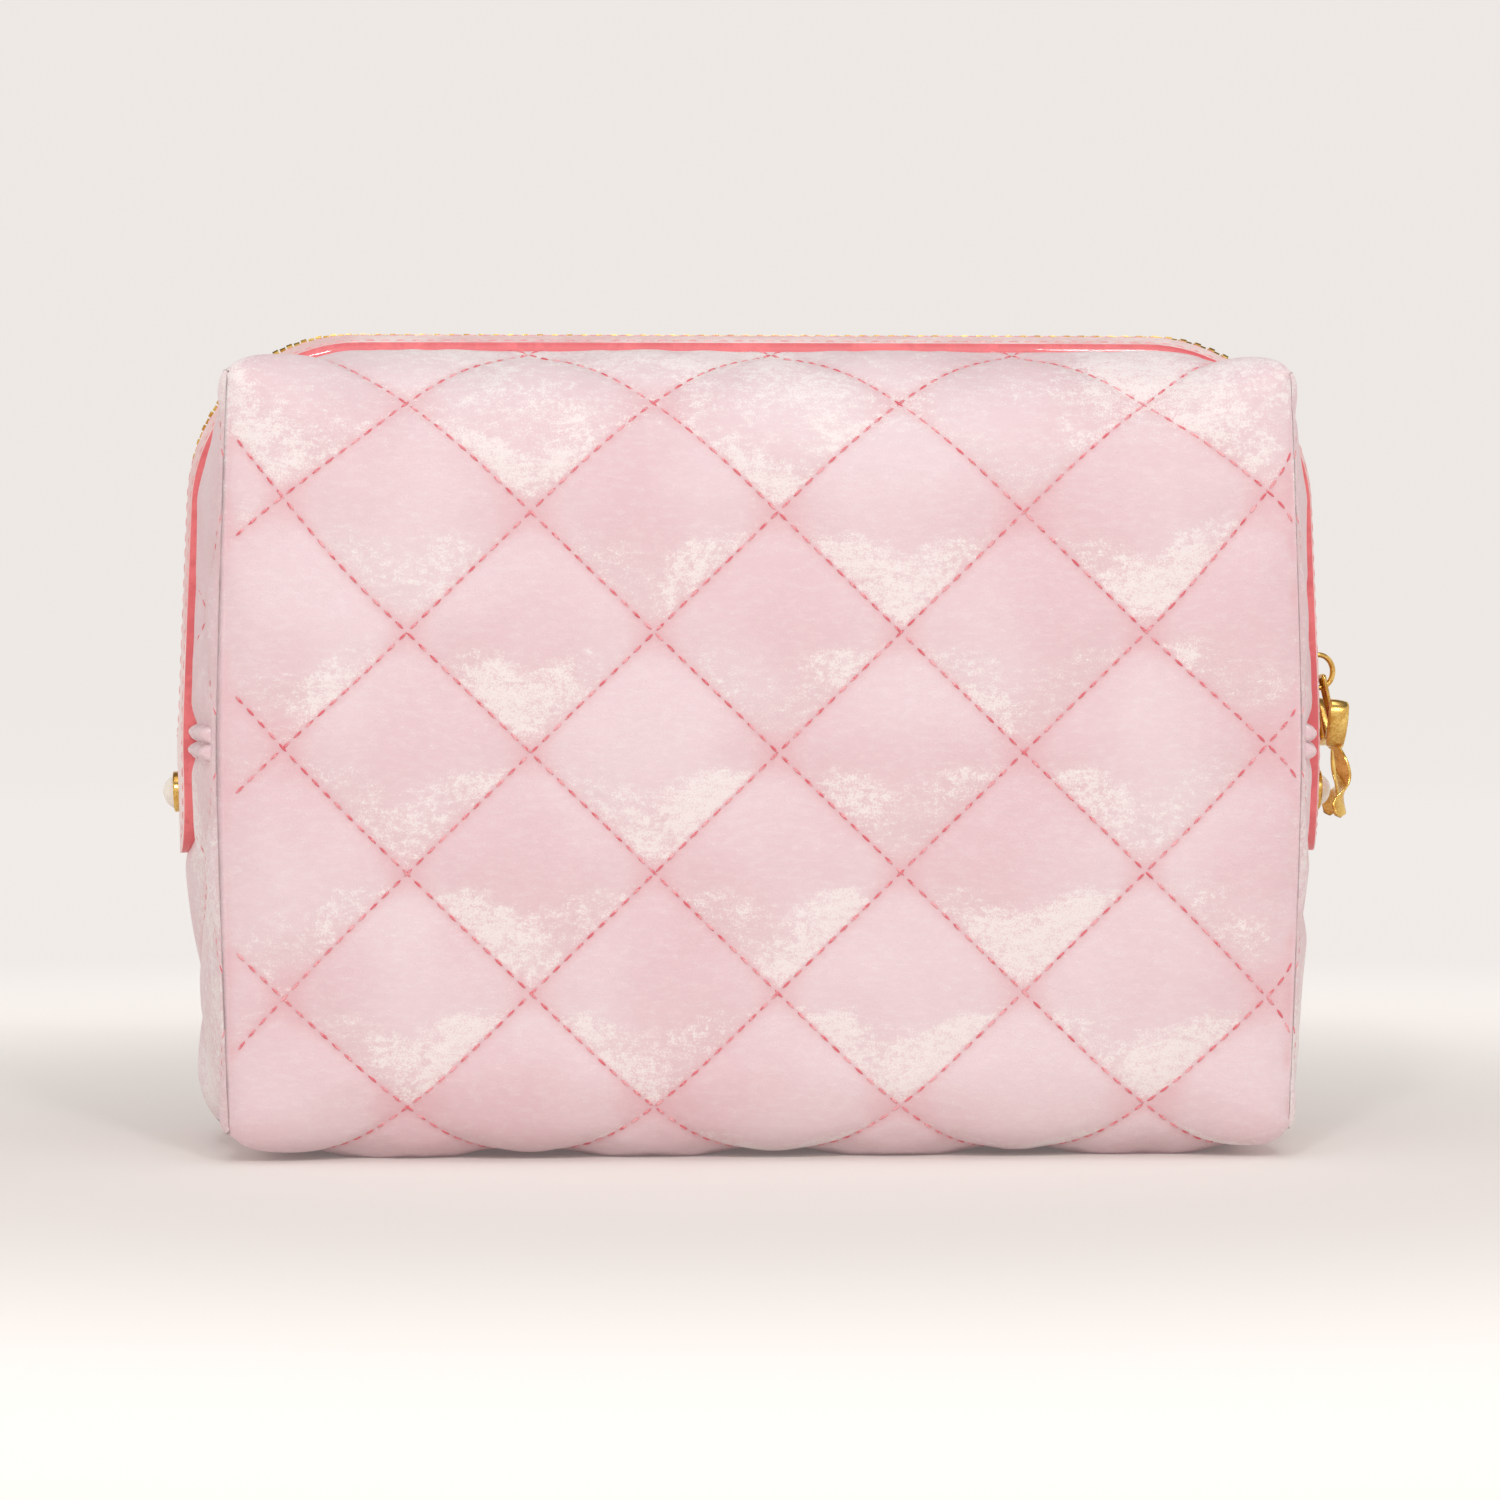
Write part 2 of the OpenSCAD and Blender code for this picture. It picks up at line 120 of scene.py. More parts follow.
class NodeTree:
    """A small helper that adds and links shader nodes."""

    def __init__(self, tree: bpy.types.NodeTree) -> None:
        """Keeps the tree to add nodes to."""
        self.tree = tree

    def add(self, kind: str, inputs: dict | None = None, **props: object) -> bpy.types.Node:
        """Adds a node, sets its properties and links or fills its inputs.

        Args:
            kind: The node's type, without its ShaderNode prefix, or a full type name.
            inputs: Input name or number to a socket that feeds it or a value.
            props: Properties of the node.

        Returns:
            The new node.
        """
        name = kind if kind.startswith(("ShaderNode", "Node")) else f"ShaderNode{kind}"
        node = self.tree.nodes.new(name)
        for key, value in props.items():
            setattr(node, key, value)
        for key, value in (inputs or {}).items():
            if isinstance(value, bpy.types.NodeSocket):
                self.tree.links.new(value, node.inputs[key])
            else:
                node.inputs[key].default_value = value
        return node

    def link(self, source: bpy.types.NodeSocket, target: bpy.types.NodeSocket) -> None:
        """Links an output to an input."""
        self.tree.links.new(source, target)

    def dress(self, shader: bpy.types.Node, mask: bpy.types.NodeSocket, tones: tuple[str, str],
              roughness: tuple[float, float], height: bpy.types.NodeSocket,
              bump: tuple[float, float]) -> None:
        """Feeds a shader's colour and roughness from a mask, and its normal from a height.

        Args:
            shader: The shader.
            mask: From 0 to 1 over the surface.
            tones: Colours where the mask is 0 and 1.
            roughness: Roughness where the mask is 0 and 1.
            height: Height of the bumps, from 0 to 1.
            bump: Strength and distance of the bumps.
        """
        self.link(self.mix(mask, linear(tones[0]), linear(tones[1])), shader.inputs["Base Color"])
        self.link(self.ramp(mask, 0.0, 1.0, *roughness), shader.inputs["Roughness"])
        relief = self.add("Bump", {"Height": height, "Strength": bump[0], "Distance": bump[1]})
        self.link(relief.outputs[0], shader.inputs["Normal"])

    def mottle(self, groups: "Groups", vector: bpy.types.NodeSocket, patch: float, fibre: float
               ) -> bpy.types.NodeSocket:
        """Adds the group of cloudy patches and returns its mask."""
        return self.add("Group", {"Vector": vector, "Patch": patch, "Fibre": fibre},
                        node_tree=groups.mottle).outputs["Mask"]

    def noise(self, vector: bpy.types.NodeSocket, scale: float, detail: float = 2.0,
              rough: float = 0.5, distort: float = 0.0) -> bpy.types.NodeSocket:
        """Adds a noise texture and returns its grey output."""
        node = self.add("TexNoise", {"Vector": vector, "Scale": scale, "Detail": detail,
                                     "Roughness": rough, "Distortion": distort})
        return node.outputs[0]

    def ramp(self, value: bpy.types.NodeSocket, low: float, high: float,
             out_low: float = 0.0, out_high: float = 1.0) -> bpy.types.NodeSocket:
        """Maps a value smoothly from low..high to out_low..out_high, clamped."""
        node = self.add("MapRange", {"Value": value, "From Min": low, "From Max": high,
                                     "To Min": out_low, "To Max": out_high},
                        interpolation_type="SMOOTHSTEP")
        return node.outputs[0]

    def math(self, kind: str, a: object, b: object = 0.0) -> bpy.types.NodeSocket:
        """Adds a maths node and returns its output."""
        return self.add("Math", {0: a, 1: b}, operation=kind).outputs[0]

    def mix(self, factor: object, a: object, b: object) -> bpy.types.NodeSocket:
        """Mixes two colours by a factor and returns the colour."""
        node = self.tree.nodes.new("ShaderNodeMix")
        node.data_type = "RGBA"
        for index, value in ((0, factor), (6, a), (7, b)):
            if isinstance(value, bpy.types.NodeSocket):
                self.tree.links.new(value, node.inputs[index])
            else:
                node.inputs[index].default_value = value
        return node.outputs[2]


def new_group(name: str, inputs: dict[str, tuple[str, float]], outputs: dict[str, str]
              ) -> tuple[bpy.types.NodeTree, NodeTree, bpy.types.Node, bpy.types.Node]:
    """Makes an empty shader node group with named sockets.

    Args:
        name: The group's name.
        inputs: Socket name to its type word (Vector or Float) and its starting value.
        outputs: Socket name to its type word.

    Returns:
        The group, a helper on it, and its input and output nodes.
    """
    group = bpy.data.node_groups.new(name, "ShaderNodeTree")
    for key, (kind, value) in inputs.items():
        socket = group.interface.new_socket(key, in_out="INPUT", socket_type=f"NodeSocket{kind}")
        if kind == "Float":
            socket.default_value = value
    for key, kind in outputs.items():
        group.interface.new_socket(key, in_out="OUTPUT", socket_type=f"NodeSocket{kind}")
    tree = NodeTree(group)
    return group, tree, tree.add("NodeGroupInput"), tree.add("NodeGroupOutput")


def mottle_group() -> bpy.types.NodeTree:
    """Group of broad cloudy patches broken up by fine fibre: the mask of brushed or worn areas."""
    group, tree, start, end = new_group(
        "Mottle", {"Vector": ("Vector", 0.0), "Patch": ("Float", 40.0), "Fibre": ("Float", 900.0)},
        {"Mask": "Float"})
    broad = tree.noise(start.outputs["Vector"], 1.0, 3.0, 0.55, 0.6)
    tree.link(start.outputs["Patch"], broad.node.inputs["Scale"])
    fine = tree.noise(start.outputs["Vector"], 1.0, 2.0, 0.7)
    tree.link(start.outputs["Fibre"], fine.node.inputs["Scale"])
    both = tree.math("MULTIPLY_ADD", fine, 0.45)
    both.node.inputs[2].default_value = -0.22
    total = tree.math("ADD", broad, both)
    tree.link(tree.ramp(total, 0.38, 0.66), end.inputs["Mask"])
    return group


def weave_group() -> bpy.types.NodeTree:
    """Group of crossed threads: sine ridges along both of a vector's first two axes."""
    group, tree, start, end = new_group(
        "Weave", {"Vector": ("Vector", 0.0), "Threads": ("Float", 2500.0)}, {"Height": "Float"})
    split = tree.add("SeparateXYZ", {0: start.outputs["Vector"]})
    ridges = []
    for axis in (0, 1):
        turns = tree.math("MULTIPLY", split.outputs[axis], start.outputs["Threads"])
        ridges.append(tree.math("SINE", turns))
    tree.link(tree.math("MULTIPLY", ridges[0], ridges[1]), end.inputs["Height"])
    return group


@dataclass(frozen=True)
class Velvet:
    """Short rose velvet with pale crushed streaks and patches, and with sheen and crease shade painted into
    its colour.
    """

    name: str = "rose_velvet"
    pile: str = "e9d2d7"
    deep: str = "e4c4ca"
    # Pale tone for the crushed streaks, and for the painted sheen and painted glints.
    crushed_and_sheen: str = "f7f1ef"
    # Darker pink for the painted shade in the creases.
    crease_shade: str = "dfa4aa"
    roughness: float = 0.82
    sheen: float = 0.35

    def build(self, groups: "Groups") -> bpy.types.Material:
        """Makes the material.

        Args:
            groups: The shared node groups.

        Returns:
            The velvet, which reads two point attributes: the painted sheen, strongest on the lower rim of
            each puff, and the painted shade in the creases.
        """
        mat, tree, shader, coords = start_material(self.name)
        place = coords.outputs["Object"]
        # Point attributes of painted sheen and painted crease shade, written with the cloth.
        painted_sheen = tree.add("Attribute", attribute_name="painted_sheen").outputs["Fac"]
        crease_shade = tree.add("Attribute", attribute_name="crease_shade").outputs["Fac"]
        patches = tree.mottle(groups, place, 27.0, 600.0)
        speck = tree.noise(place, 2900.0, 2.0, 0.8)
        streaks = tree.add("Mapping", {"Vector": place, "Scale": (1.0, 1.0, 2.6)})
        strand = tree.noise(streaks.outputs[0], 330.0, 4.0, 0.75)
        tone = tree.mix(tree.ramp(tree.noise(place, 22.0, 2.0, 0.5), 0.35, 0.68),
                        linear(self.deep), linear(self.pile))
        tone = tree.mix(tree.math("MULTIPLY", tree.ramp(strand, 0.45, 0.62), 0.12), tone,
                        linear(self.crushed_and_sheen))
        # Painted shade: a darker pink where the cloth sits deep in a crease.
        tone = tree.mix(tree.math("MULTIPLY", crease_shade, 0.55), tone, linear(self.crease_shade))
        # Painted sheen, broken up by the crushed patches, turns the colour pale.
        share = tree.math("MULTIPLY", painted_sheen, tree.ramp(patches, 0.0, 1.0, 0.4, 1.0))
        grain = tree.math("ADD", tree.math("MULTIPLY", speck, 0.6), tree.math("MULTIPLY", strand, 0.4))
        edge = tree.math("SUBTRACT", tree.math("ADD", grain, tree.math("MULTIPLY", share, 0.22)), 0.61)
        # Pale flecks: partly the pile's own fibre specks, partly painted glints, denser where sheen is
        # painted.
        fleck_and_glint = tree.ramp(edge, 0.0, 0.13)
        tone = tree.mix(tree.math("MULTIPLY", share, 0.22), tone, linear(self.crushed_and_sheen))
        tone = tree.mix(tree.math("MULTIPLY", fleck_and_glint, 0.75), tone, linear(self.crushed_and_sheen))
        tree.link(tone, shader.inputs["Base Color"])
        bump = tree.add("Bump", {"Height": grain, "Strength": 0.45, "Distance": 0.0005})
        tree.link(bump.outputs[0], shader.inputs["Normal"])
        rough = tree.ramp(patches, 0.0, 1.0, self.roughness, self.roughness - 0.14)
        tree.link(rough, shader.inputs["Roughness"])
        shader.inputs["Sheen Weight"].default_value = self.sheen
        shader.inputs["Sheen Roughness"].default_value = 0.38
        shader.inputs["Sheen Tint"].default_value = linear("fff1ef")
        shader.inputs["Specular IOR Level"].default_value = 0.22
        return mat


@dataclass(frozen=True)
class Cloth:
    """A woven cloth: the satin lining and the zip tapes."""

    name: str
    light: str
    dark: str
    threads: float
    roughness: float
    sheen: float

    def build(self, groups: "Groups") -> bpy.types.Material:
        """Makes the material from crossed threads and cloudy wear."""
        mat, tree, shader, coords = start_material(self.name)
        place = coords.outputs["Object"]
        turned = tree.add("Mapping", {"Vector": place, "Rotation": (0.9, 0.35, 0.7)})
        weave = tree.add("Group", {"Vector": turned.outputs[0], "Threads": self.threads},
                         node_tree=groups.weave).outputs["Height"]
        tree.dress(shader, tree.mottle(groups, place, 26.0, 700.0), (self.dark, self.light),
                   (self.roughness, self.roughness - 0.1), weave, (0.25, 0.0002))
        shader.inputs["Sheen Weight"].default_value = self.sheen
        shader.inputs["Sheen Roughness"].default_value = 0.4
        return mat


@dataclass(frozen=True)
class Leatherette:
    """Smooth coated trim with a fine grain."""

    name: str = "pale_leatherette"
    light: str = "f9e3e1"
    dark: str = "eec3c2"
    roughness: float = 0.42

    def build(self, groups: "Groups") -> bpy.types.Material:
        """Makes the material: cell grain in the bump and slow tone changes in the colour."""
        mat, tree, shader, coords = start_material(self.name)
        place = coords.outputs["Object"]
        grain = tree.add("TexVoronoi", {"Vector": place, "Scale": 1900.0}).outputs[0]
        tree.dress(shader, tree.mottle(groups, place, 30.0, 500.0), (self.dark, self.light),
                   (self.roughness, self.roughness + 0.14), grain, (0.18, 0.0002))
        return mat


@dataclass(frozen=True)
class Paint:
    """A thin coat with little change over it: the trim's painted edges, and sewing thread."""

    name: str
    light: str
    dark: str
    roughness: float
    scale: float
    coat: float = 0.0

    def build(self, groups: "Groups") -> bpy.types.Material:
        """Makes the material from two tones, mixed by cloudy patches and fine fibre."""
        mat, tree, shader, coords = start_material(self.name)
        mask = tree.mottle(groups, coords.outputs["Object"], self.scale, self.scale * 6.0)
        tree.dress(shader, mask, (self.dark, self.light), (self.roughness, self.roughness + 0.12),
                   mask, (0.2, 0.0001))
        shader.inputs["Coat Weight"].default_value = self.coat
        return mat


@dataclass(frozen=True)
class Gold:
    """Polished gold plating with faint tarnish and wiping marks."""

    name: str = "polished_gold"
    bright: str = "f6d27e"
    dull: str = "c99545"
    roughness: float = 0.16

    def build(self, groups: "Groups") -> bpy.types.Material:
        """Makes the metal: tone and roughness follow the same wear mask."""
        mat, tree, shader, coords = start_material(self.name)
        place = coords.outputs["Object"]
        tree.dress(shader, tree.mottle(groups, place, 160.0, 2600.0), (self.bright, self.dull),
                   (self.roughness, self.roughness + 0.14), tree.noise(place, 3200.0, 2.0, 0.6),
                   (0.05, 0.0001))
        shader.inputs["Metallic"].default_value = 1.0
        return mat


@dataclass(frozen=True)
class Pearl:
    """Pearl lacquer: creamy with a hint of rose and green, under a clear coat."""

    name: str = "pearl_lacquer"
    cream: str = "f4eee0"
    rose: str = "ecd9d4"
    green: str = "dfe2d2"
    roughness: float = 0.24

    def build(self, groups: "Groups") -> bpy.types.Material:
        """Makes the lacquer from slow bands of three tones."""
        mat, tree, shader, coords = start_material(self.name)
        place = coords.outputs["Object"]
        band = tree.noise(place, 180.0, 1.5, 0.5, 0.8)
        tone = tree.mix(tree.ramp(band, 0.35, 0.55), linear(self.rose), linear(self.cream))
        tone = tree.mix(tree.ramp(band, 0.55, 0.75), tone, linear(self.green))
        tree.link(tone, shader.inputs["Base Color"])
        rough = tree.ramp(band, 0.3, 0.7, self.roughness, self.roughness + 0.08)
        tree.link(rough, shader.inputs["Roughness"])
        shader.inputs["Coat Weight"].default_value = 1.0
        shader.inputs["Coat Roughness"].default_value = 0.06
        return mat


def start_material(name: str) -> tuple[bpy.types.Material, NodeTree, bpy.types.Node, bpy.types.Node]:
    """Makes a material with a Principled shader and a coordinate node.

    Args:
        name: The material's name.

    Returns:
        The material, a helper on its nodes, the shader and the Texture Coordinate node.
    """
    mat = bpy.data.materials.new(name)
    mat.use_nodes = True
    tree = NodeTree(mat.node_tree)
    shader = mat.node_tree.nodes["Principled BSDF"]
    return mat, tree, shader, tree.add("TexCoord")


class Groups:
    """The node groups that more than one finish uses."""

    def __init__(self) -> None:
        """Builds each group once."""
        self.mottle = mottle_group()
        self.weave = weave_group()


class Finishes:
    """Every material of the bag, built once."""

    def __init__(self) -> None:
        """Builds the materials from their finishes."""
        groups = Groups()
        self.velvet = Velvet().build(groups)
        self.lining = Cloth("satin_lining", "efb0b6", "d98b93", 5200.0, 0.38, 0.25).build(groups)
        self.tape = Cloth("woven_tape", "f08f95", "d66c74", 3600.0, 0.75, 0.1).build(groups)
        self.leatherette = Leatherette().build(groups)
        self.edge_paint = Paint("coral_edge_paint", "f0787c", "e06369", 0.36, 90.0, 0.2).build(groups)
        self.thread = Paint("quilting_thread", "f3b4b9", "df6a74", 0.7, 420.0).build(groups)
        self.topstitch = Paint("topstitch_thread", "f7c4c4", "e79a9c", 0.6, 420.0).build(groups)
        self.gold = Gold().build(groups)
        self.pearl = Pearl().build(groups)


# ---------------------------------------------------------------- mesh helpers


def smoothstep(value: np.ndarray, low: float, high: float) -> np.ndarray:
    """Cubic step from 0 at low to 1 at high."""
    t = np.clip((value - low) / (high - low), 0.0, 1.0)
    return t * t * (3.0 - 2.0 * t)


def new_mesh(name: str, points: np.ndarray, faces: list, materials: list[bpy.types.Material],
             slots: np.ndarray | None = None) -> bpy.types.Object:
    """Makes an object from points in millimetres and faces.

    Args:
        name: The piece's name.
        points: Points in millimetres, one per row.
        faces: Vertex numbers of each face.
        materials: Materials, in slot order.
        slots: Material slot of each face, or None for the first.

    Returns:
        The new object, at the origin.
    """
    mesh = bpy.data.meshes.new(name)
    mesh.from_pydata((points * MM).tolist(), [], faces)
    for mat in materials:
        mesh.materials.append(mat)
    if slots is not None:
        mesh.polygons.foreach_set("material_index", np.asarray(slots, dtype=np.int32))
    mesh.polygons.foreach_set("use_smooth", np.ones(len(mesh.polygons), dtype=bool))
    mesh.update()
    obj = bpy.data.objects.new(name, mesh)
    bpy.context.collection.objects.link(obj)
    return obj


def read_points(mesh: bpy.types.Mesh) -> np.ndarray:
    """Reads a mesh's points, in millimetres."""
    flat = np.empty(len(mesh.vertices) * 3, dtype=np.float32)
    mesh.vertices.foreach_get("co", flat)
    return flat.reshape(-1, 3).astype(float) / MM


def read_normals(mesh: bpy.types.Mesh) -> np.ndarray:
    """Reads a mesh's point normals."""
    flat = np.empty(len(mesh.vertices) * 3, dtype=np.float32)
    mesh.vertices.foreach_get("normal", flat)
    return flat.reshape(-1, 3).astype(float)


def grid_faces(rows: int, columns: int, start: int = 0, close_rows: bool = False,
               close_columns: bool = False, flip: bool = False) -> np.ndarray:
    """Quads of a grid whose points are stored row by row.

    Args:
        rows: Number of rows.
        columns: Number of columns.
        start: Number of the grid's first point.
        close_rows: True to join the last row to the first.
        close_columns: True to join the last column to the first.
        flip: True to turn the faces over.

    Returns:
        One row of four point numbers per face.
    """
    r = np.arange(rows if close_rows else rows - 1)
    c = np.arange(columns if close_columns else columns - 1)
    i, j = np.meshgrid(r, c, indexing="ij")
    a = i * columns + j
    b = i * columns + (j + 1) % columns
    e = ((i + 1) % rows) * columns + j
    f = ((i + 1) % rows) * columns + (j + 1) % columns
    quads = np.stack([a, b, f, e], axis=-1).reshape(-1, 4) + start
    return quads[:, ::-1] if flip else quads


def weld(points: np.ndarray, faces: list, tolerance: float = 0.02
         ) -> tuple[np.ndarray, list, np.ndarray]:
    """Merges points that lie within a tolerance of each other.

    Args:
        points: Points in millimetres.
        faces: Vertex numbers of each face.
        tolerance: Grid on which points count as the same, in millimetres.

    Returns:
        The kept points, the faces on them, and each old point's new number.
    """
    keys = np.round(points / tolerance).astype(np.int64)
    _, first, number = np.unique(keys, axis=0, return_index=True, return_inverse=True)
    number = number.reshape(-1)
    kept = []
    for face in faces:
        loop = [int(number[v]) for v in face]
        loop = [v for i, v in enumerate(loop) if v != loop[i - 1]]
        if len(loop) >= 3:
            kept.append(loop)
    return points[first], kept, number


def finish_shape(obj: bpy.types.Object, levels: int) -> None:
    """Subdivides an object's mesh for good.

    Args:
        obj: The object.
        levels: Number of subdivisions.
    """
    mod = obj.modifiers.new("smooth", "SUBSURF")
    mod.levels = mod.render_levels = levels
    bake_modifiers(obj)


def bake_modifiers(obj: bpy.types.Object) -> None:
    """Puts the result of an object's modifiers into its mesh."""
    graph = bpy.context.evaluated_depsgraph_get()
    graph.update()
    result = bpy.data.meshes.new_from_object(obj.evaluated_get(graph), preserve_all_data_layers=True,
                                             depsgraph=graph)
    obj.modifiers.clear()
    old = obj.data
    obj.data = result
    bpy.data.meshes.remove(old)


def capsules(starts: np.ndarray, ends: np.ndarray, radius: float, sides: int = 6
             ) -> tuple[np.ndarray, list]:
    """Short rounded sticks, such as stitches, all in one set of points and faces.

    Each stick has four rings along its axis with radii that follow a half circle at the ends,
    closed by a point at each end.

    Args:
        starts: First end of each stick, in millimetres.
        ends: Other end of each stick.
        radius: Radius of a stick.
        sides: Sides of each ring.

    Returns:
        Points and faces.
    """
    axis = ends - starts
    length = np.linalg.norm(axis, axis=1, keepdims=True)
    axis = axis / np.maximum(length, 1e-6)
    helper = np.where(np.abs(axis[:, 2:3]) < 0.9, [[0.0, 0.0, 1.0]], [[1.0, 0.0, 0.0]])
    u = unit(np.cross(axis, helper))
    v = np.cross(axis, u)
    along = np.array([0.12, 0.35, 0.65, 0.88])
    wide = np.array([0.62, 1.0, 1.0, 0.62]) * radius
    turn = np.arange(sides) * 2.0 * np.pi / sides
    ring = u[:, None, None] * np.cos(turn)[:, None] + v[:, None, None] * np.sin(turn)[:, None]
    centre = starts[:, None] + (ends - starts)[:, None] * along[None, :, None]
    body = centre[:, :, None] + ring * wide[None, :, None, None]
    count = len(starts)
    points = np.concatenate([starts[:, None], body.reshape(count, -1, 3), ends[:, None]], axis=1)
    each = points.shape[1]
    rings = len(along)
    quads = grid_faces(rings, sides, 1, close_columns=True, flip=True)
    i = np.arange(sides)
    j = (i + 1) % sides
    first = np.stack([np.zeros(sides, dtype=int), 1 + i, 1 + j], axis=1)
    base = 1 + (rings - 1) * sides
    last = np.stack([np.full(sides, each - 1), base + j, base + i], axis=1)
    offsets = np.arange(count)[:, None, None] * each
    faces = (quads[None] + offsets).reshape(-1, 4).tolist()
    faces += (np.concatenate([first, last])[None] + offsets).reshape(-1, 3).tolist()
    return points.reshape(-1, 3), faces


def unit(vectors: np.ndarray) -> np.ndarray:
    """Vectors of length 1 in the same directions."""
    return vectors / np.linalg.norm(vectors, axis=1, keepdims=True)


def square_to(vectors: np.ndarray, along: np.ndarray) -> np.ndarray:
    """Unit vectors square to a line's directions: the part along them is taken away."""
    return unit(vectors - (vectors * along).sum(1, keepdims=True) * along)


def resample(line: np.ndarray, step: float) -> np.ndarray:
    """Points at equal steps along a line of points."""
    gaps = np.linalg.norm(np.diff(line, axis=0), axis=1)
    length = np.concatenate([[0.0], np.cumsum(gaps)])
    count = max(int(length[-1] / step), 1)
    at = np.linspace(0.0, length[-1], count + 1)
    return np.stack([np.interp(at, length, line[:, k]) for k in range(line.shape[1])], axis=1)


# ---------------------------------------------------------------- the bag's form


def rounded_edge(a: np.ndarray, b: np.ndarray, radius: np.ndarray | float) -> np.ndarray:
    """Signed distance to where two half-spaces meet, with the edge between them rounded.

    Args:
        a: Signed distance to the first half-space.
        b: Signed distance to the second.
        radius: Radius of the edge.

    Returns:
        Distance to the rounded shape: negative inside.
    """
    qa = a + radius
    qb = b + radius
    outside = np.hypot(np.maximum(qa, 0.0), np.maximum(qb, 0.0))
    return outside + np.minimum(np.maximum(qa, qb), 0.0) - radius


@dataclass
class BagForm:
    """The bag's soft box as a field of signed distance, and the layout of its cloth.

    The box is where five rounded pairs of walls meet: side with top, side with base, front with
    top, front with base, and side with front. Every wall bulges a little.
    """

    half_w: float
    height: float
    half_d: float
    slit_z: float
    lean: float = WALL_LEAN
    corner_r: float = 32.0
    tip_r: float = 5.5
    edge_r: float = 24.0
    base_edge_r: float = 17.0
    seam_r: float = 4.0
    seam_in: float = 5.8
    side_slope: float = 0.165
    front_bulge: float = 2.6
    base_lift: float = 5.0
    roof: float = 0.24
    roof_round: float = 5.0
    trim_y: float = 13.0

    @classmethod
    def from_frame(cls) -> "BagForm":
        """Reads the form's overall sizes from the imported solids."""
        low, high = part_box("velvet_lower")
        _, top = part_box("velvet_front")
        return cls(half_w=high.x / MM, height=top.z / MM, half_d=high.y / MM,
                   slit_z=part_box("tape_front")[0].z / MM)

    @property
    def mid_z(self) -> float:
        """Height of the widest line."""
        return self.height / 2.0

    def walls(self, p: np.ndarray) -> tuple[np.ndarray, np.ndarray, np.ndarray, np.ndarray]:
        """Signed distances to the four kinds of wall, in order: side, front, top, base."""
        x, y, z = np.abs(p[:, 0]), np.abs(p[:, 1]), p[:, 2]
        rise = (z - self.mid_z) / self.mid_z
        away = np.hypot(z - self.mid_z, 8.0) - 8.0
        side = x - (self.half_w - self.lean * away - self.side_fall(y))
        across = np.clip(x / self.half_w, 0.0, 1.0)
        front = y - (self.half_d - self.front_bulge * (0.7 * across**4 + 0.5 * rise**4))
        top = z - (self.height - self.fall(y, across))
        curl = np.clip((y - 20.0) / (self.half_d - 20.0), 0.0, 1.3)
        base = self.base_lift * curl**2 * (0.45 + 0.85 * across**6) + 1.2 * across**8 - z
        return side, front, top, base

    def ridge(self, y: np.ndarray, slope: float) -> np.ndarray:
        """Fall of a roof with a rounded ridge: nothing at Y = 0, then growing to a steady slope."""
        return slope * (y - self.roof_round * (1.0 - np.exp(-y / self.roof_round)))

    def side_fall(self, y: np.ndarray) -> np.ndarray:
        """How far the end walls lie inside their ridge, reaching seam_in at the front edge."""
        steady = self.ridge(y, self.side_slope)
        rest = self.seam_in - self.ridge(np.array(self.half_d), self.side_slope)
        return steady + rest * np.clip(y / self.half_d, 0.0, 1.3) ** 3

    def fall(self, y: np.ndarray, across: np.ndarray | float = 0.0) -> np.ndarray:
        """How far the top lies below its ridge: a roof with a rounded ridge, easing off outside.

        The slope grows from nothing at the ridge to its full value, and past the trim it eases
        to a fifth of that. Towards the ends the top drops a little more.
        """
        past = np.maximum(y - 18.0, 0.0)
        droop = 1.0 * across**4 * np.clip(y / self.half_d, 0.0, 1.3)
        return self.ridge(y, self.roof) - 0.8 * self.roof * past + droop

    def distance(self, p: np.ndarray) -> np.ndarray:
        """Signed distance, in millimetres: negative inside the bag."""
        side, front, top, base = self.walls(p)
        to_seam = smoothstep(np.abs(p[:, 1]), 16.0, self.half_d - 3.0)
        along = smoothstep(np.abs(p[:, 0]), self.half_w - 42.0, self.half_w - 8.0)
        top_r = self.corner_r + (self.tip_r - self.corner_r) * to_seam
        base_r = 16.0 + (self.tip_r - 16.0) * to_seam
        edge_r = self.edge_r + (self.tip_r - self.edge_r) * along
        base_edge_r = self.base_edge_r + (self.tip_r - self.base_edge_r) * along
        return np.maximum.reduce([
            rounded_edge(side, top, top_r), rounded_edge(side, base, base_r),
            rounded_edge(front, top, edge_r), rounded_edge(front, base, base_edge_r),
            rounded_edge(side, front, self.seam_r)])

    def normals(self, p: np.ndarray, reach: float = 0.6) -> np.ndarray:
        """Directions in which the distance grows fastest, by central differences."""
        steps = np.eye(3) * reach
        slope = np.stack([self.distance(p + s) - self.distance(p - s) for s in steps], axis=1)
        return slope / np.maximum(np.linalg.norm(slope, axis=1, keepdims=True), 1e-9)

    def settle(self, p: np.ndarray, level: np.ndarray | float, rounds: int = 14) -> np.ndarray:
        """Moves points along the field's slope until their distance is the level asked for."""
        p = p.copy()
        for _ in range(rounds):
            p -= 0.9 * (self.distance(p) - level)[:, None] * self.normals(p)
        return p

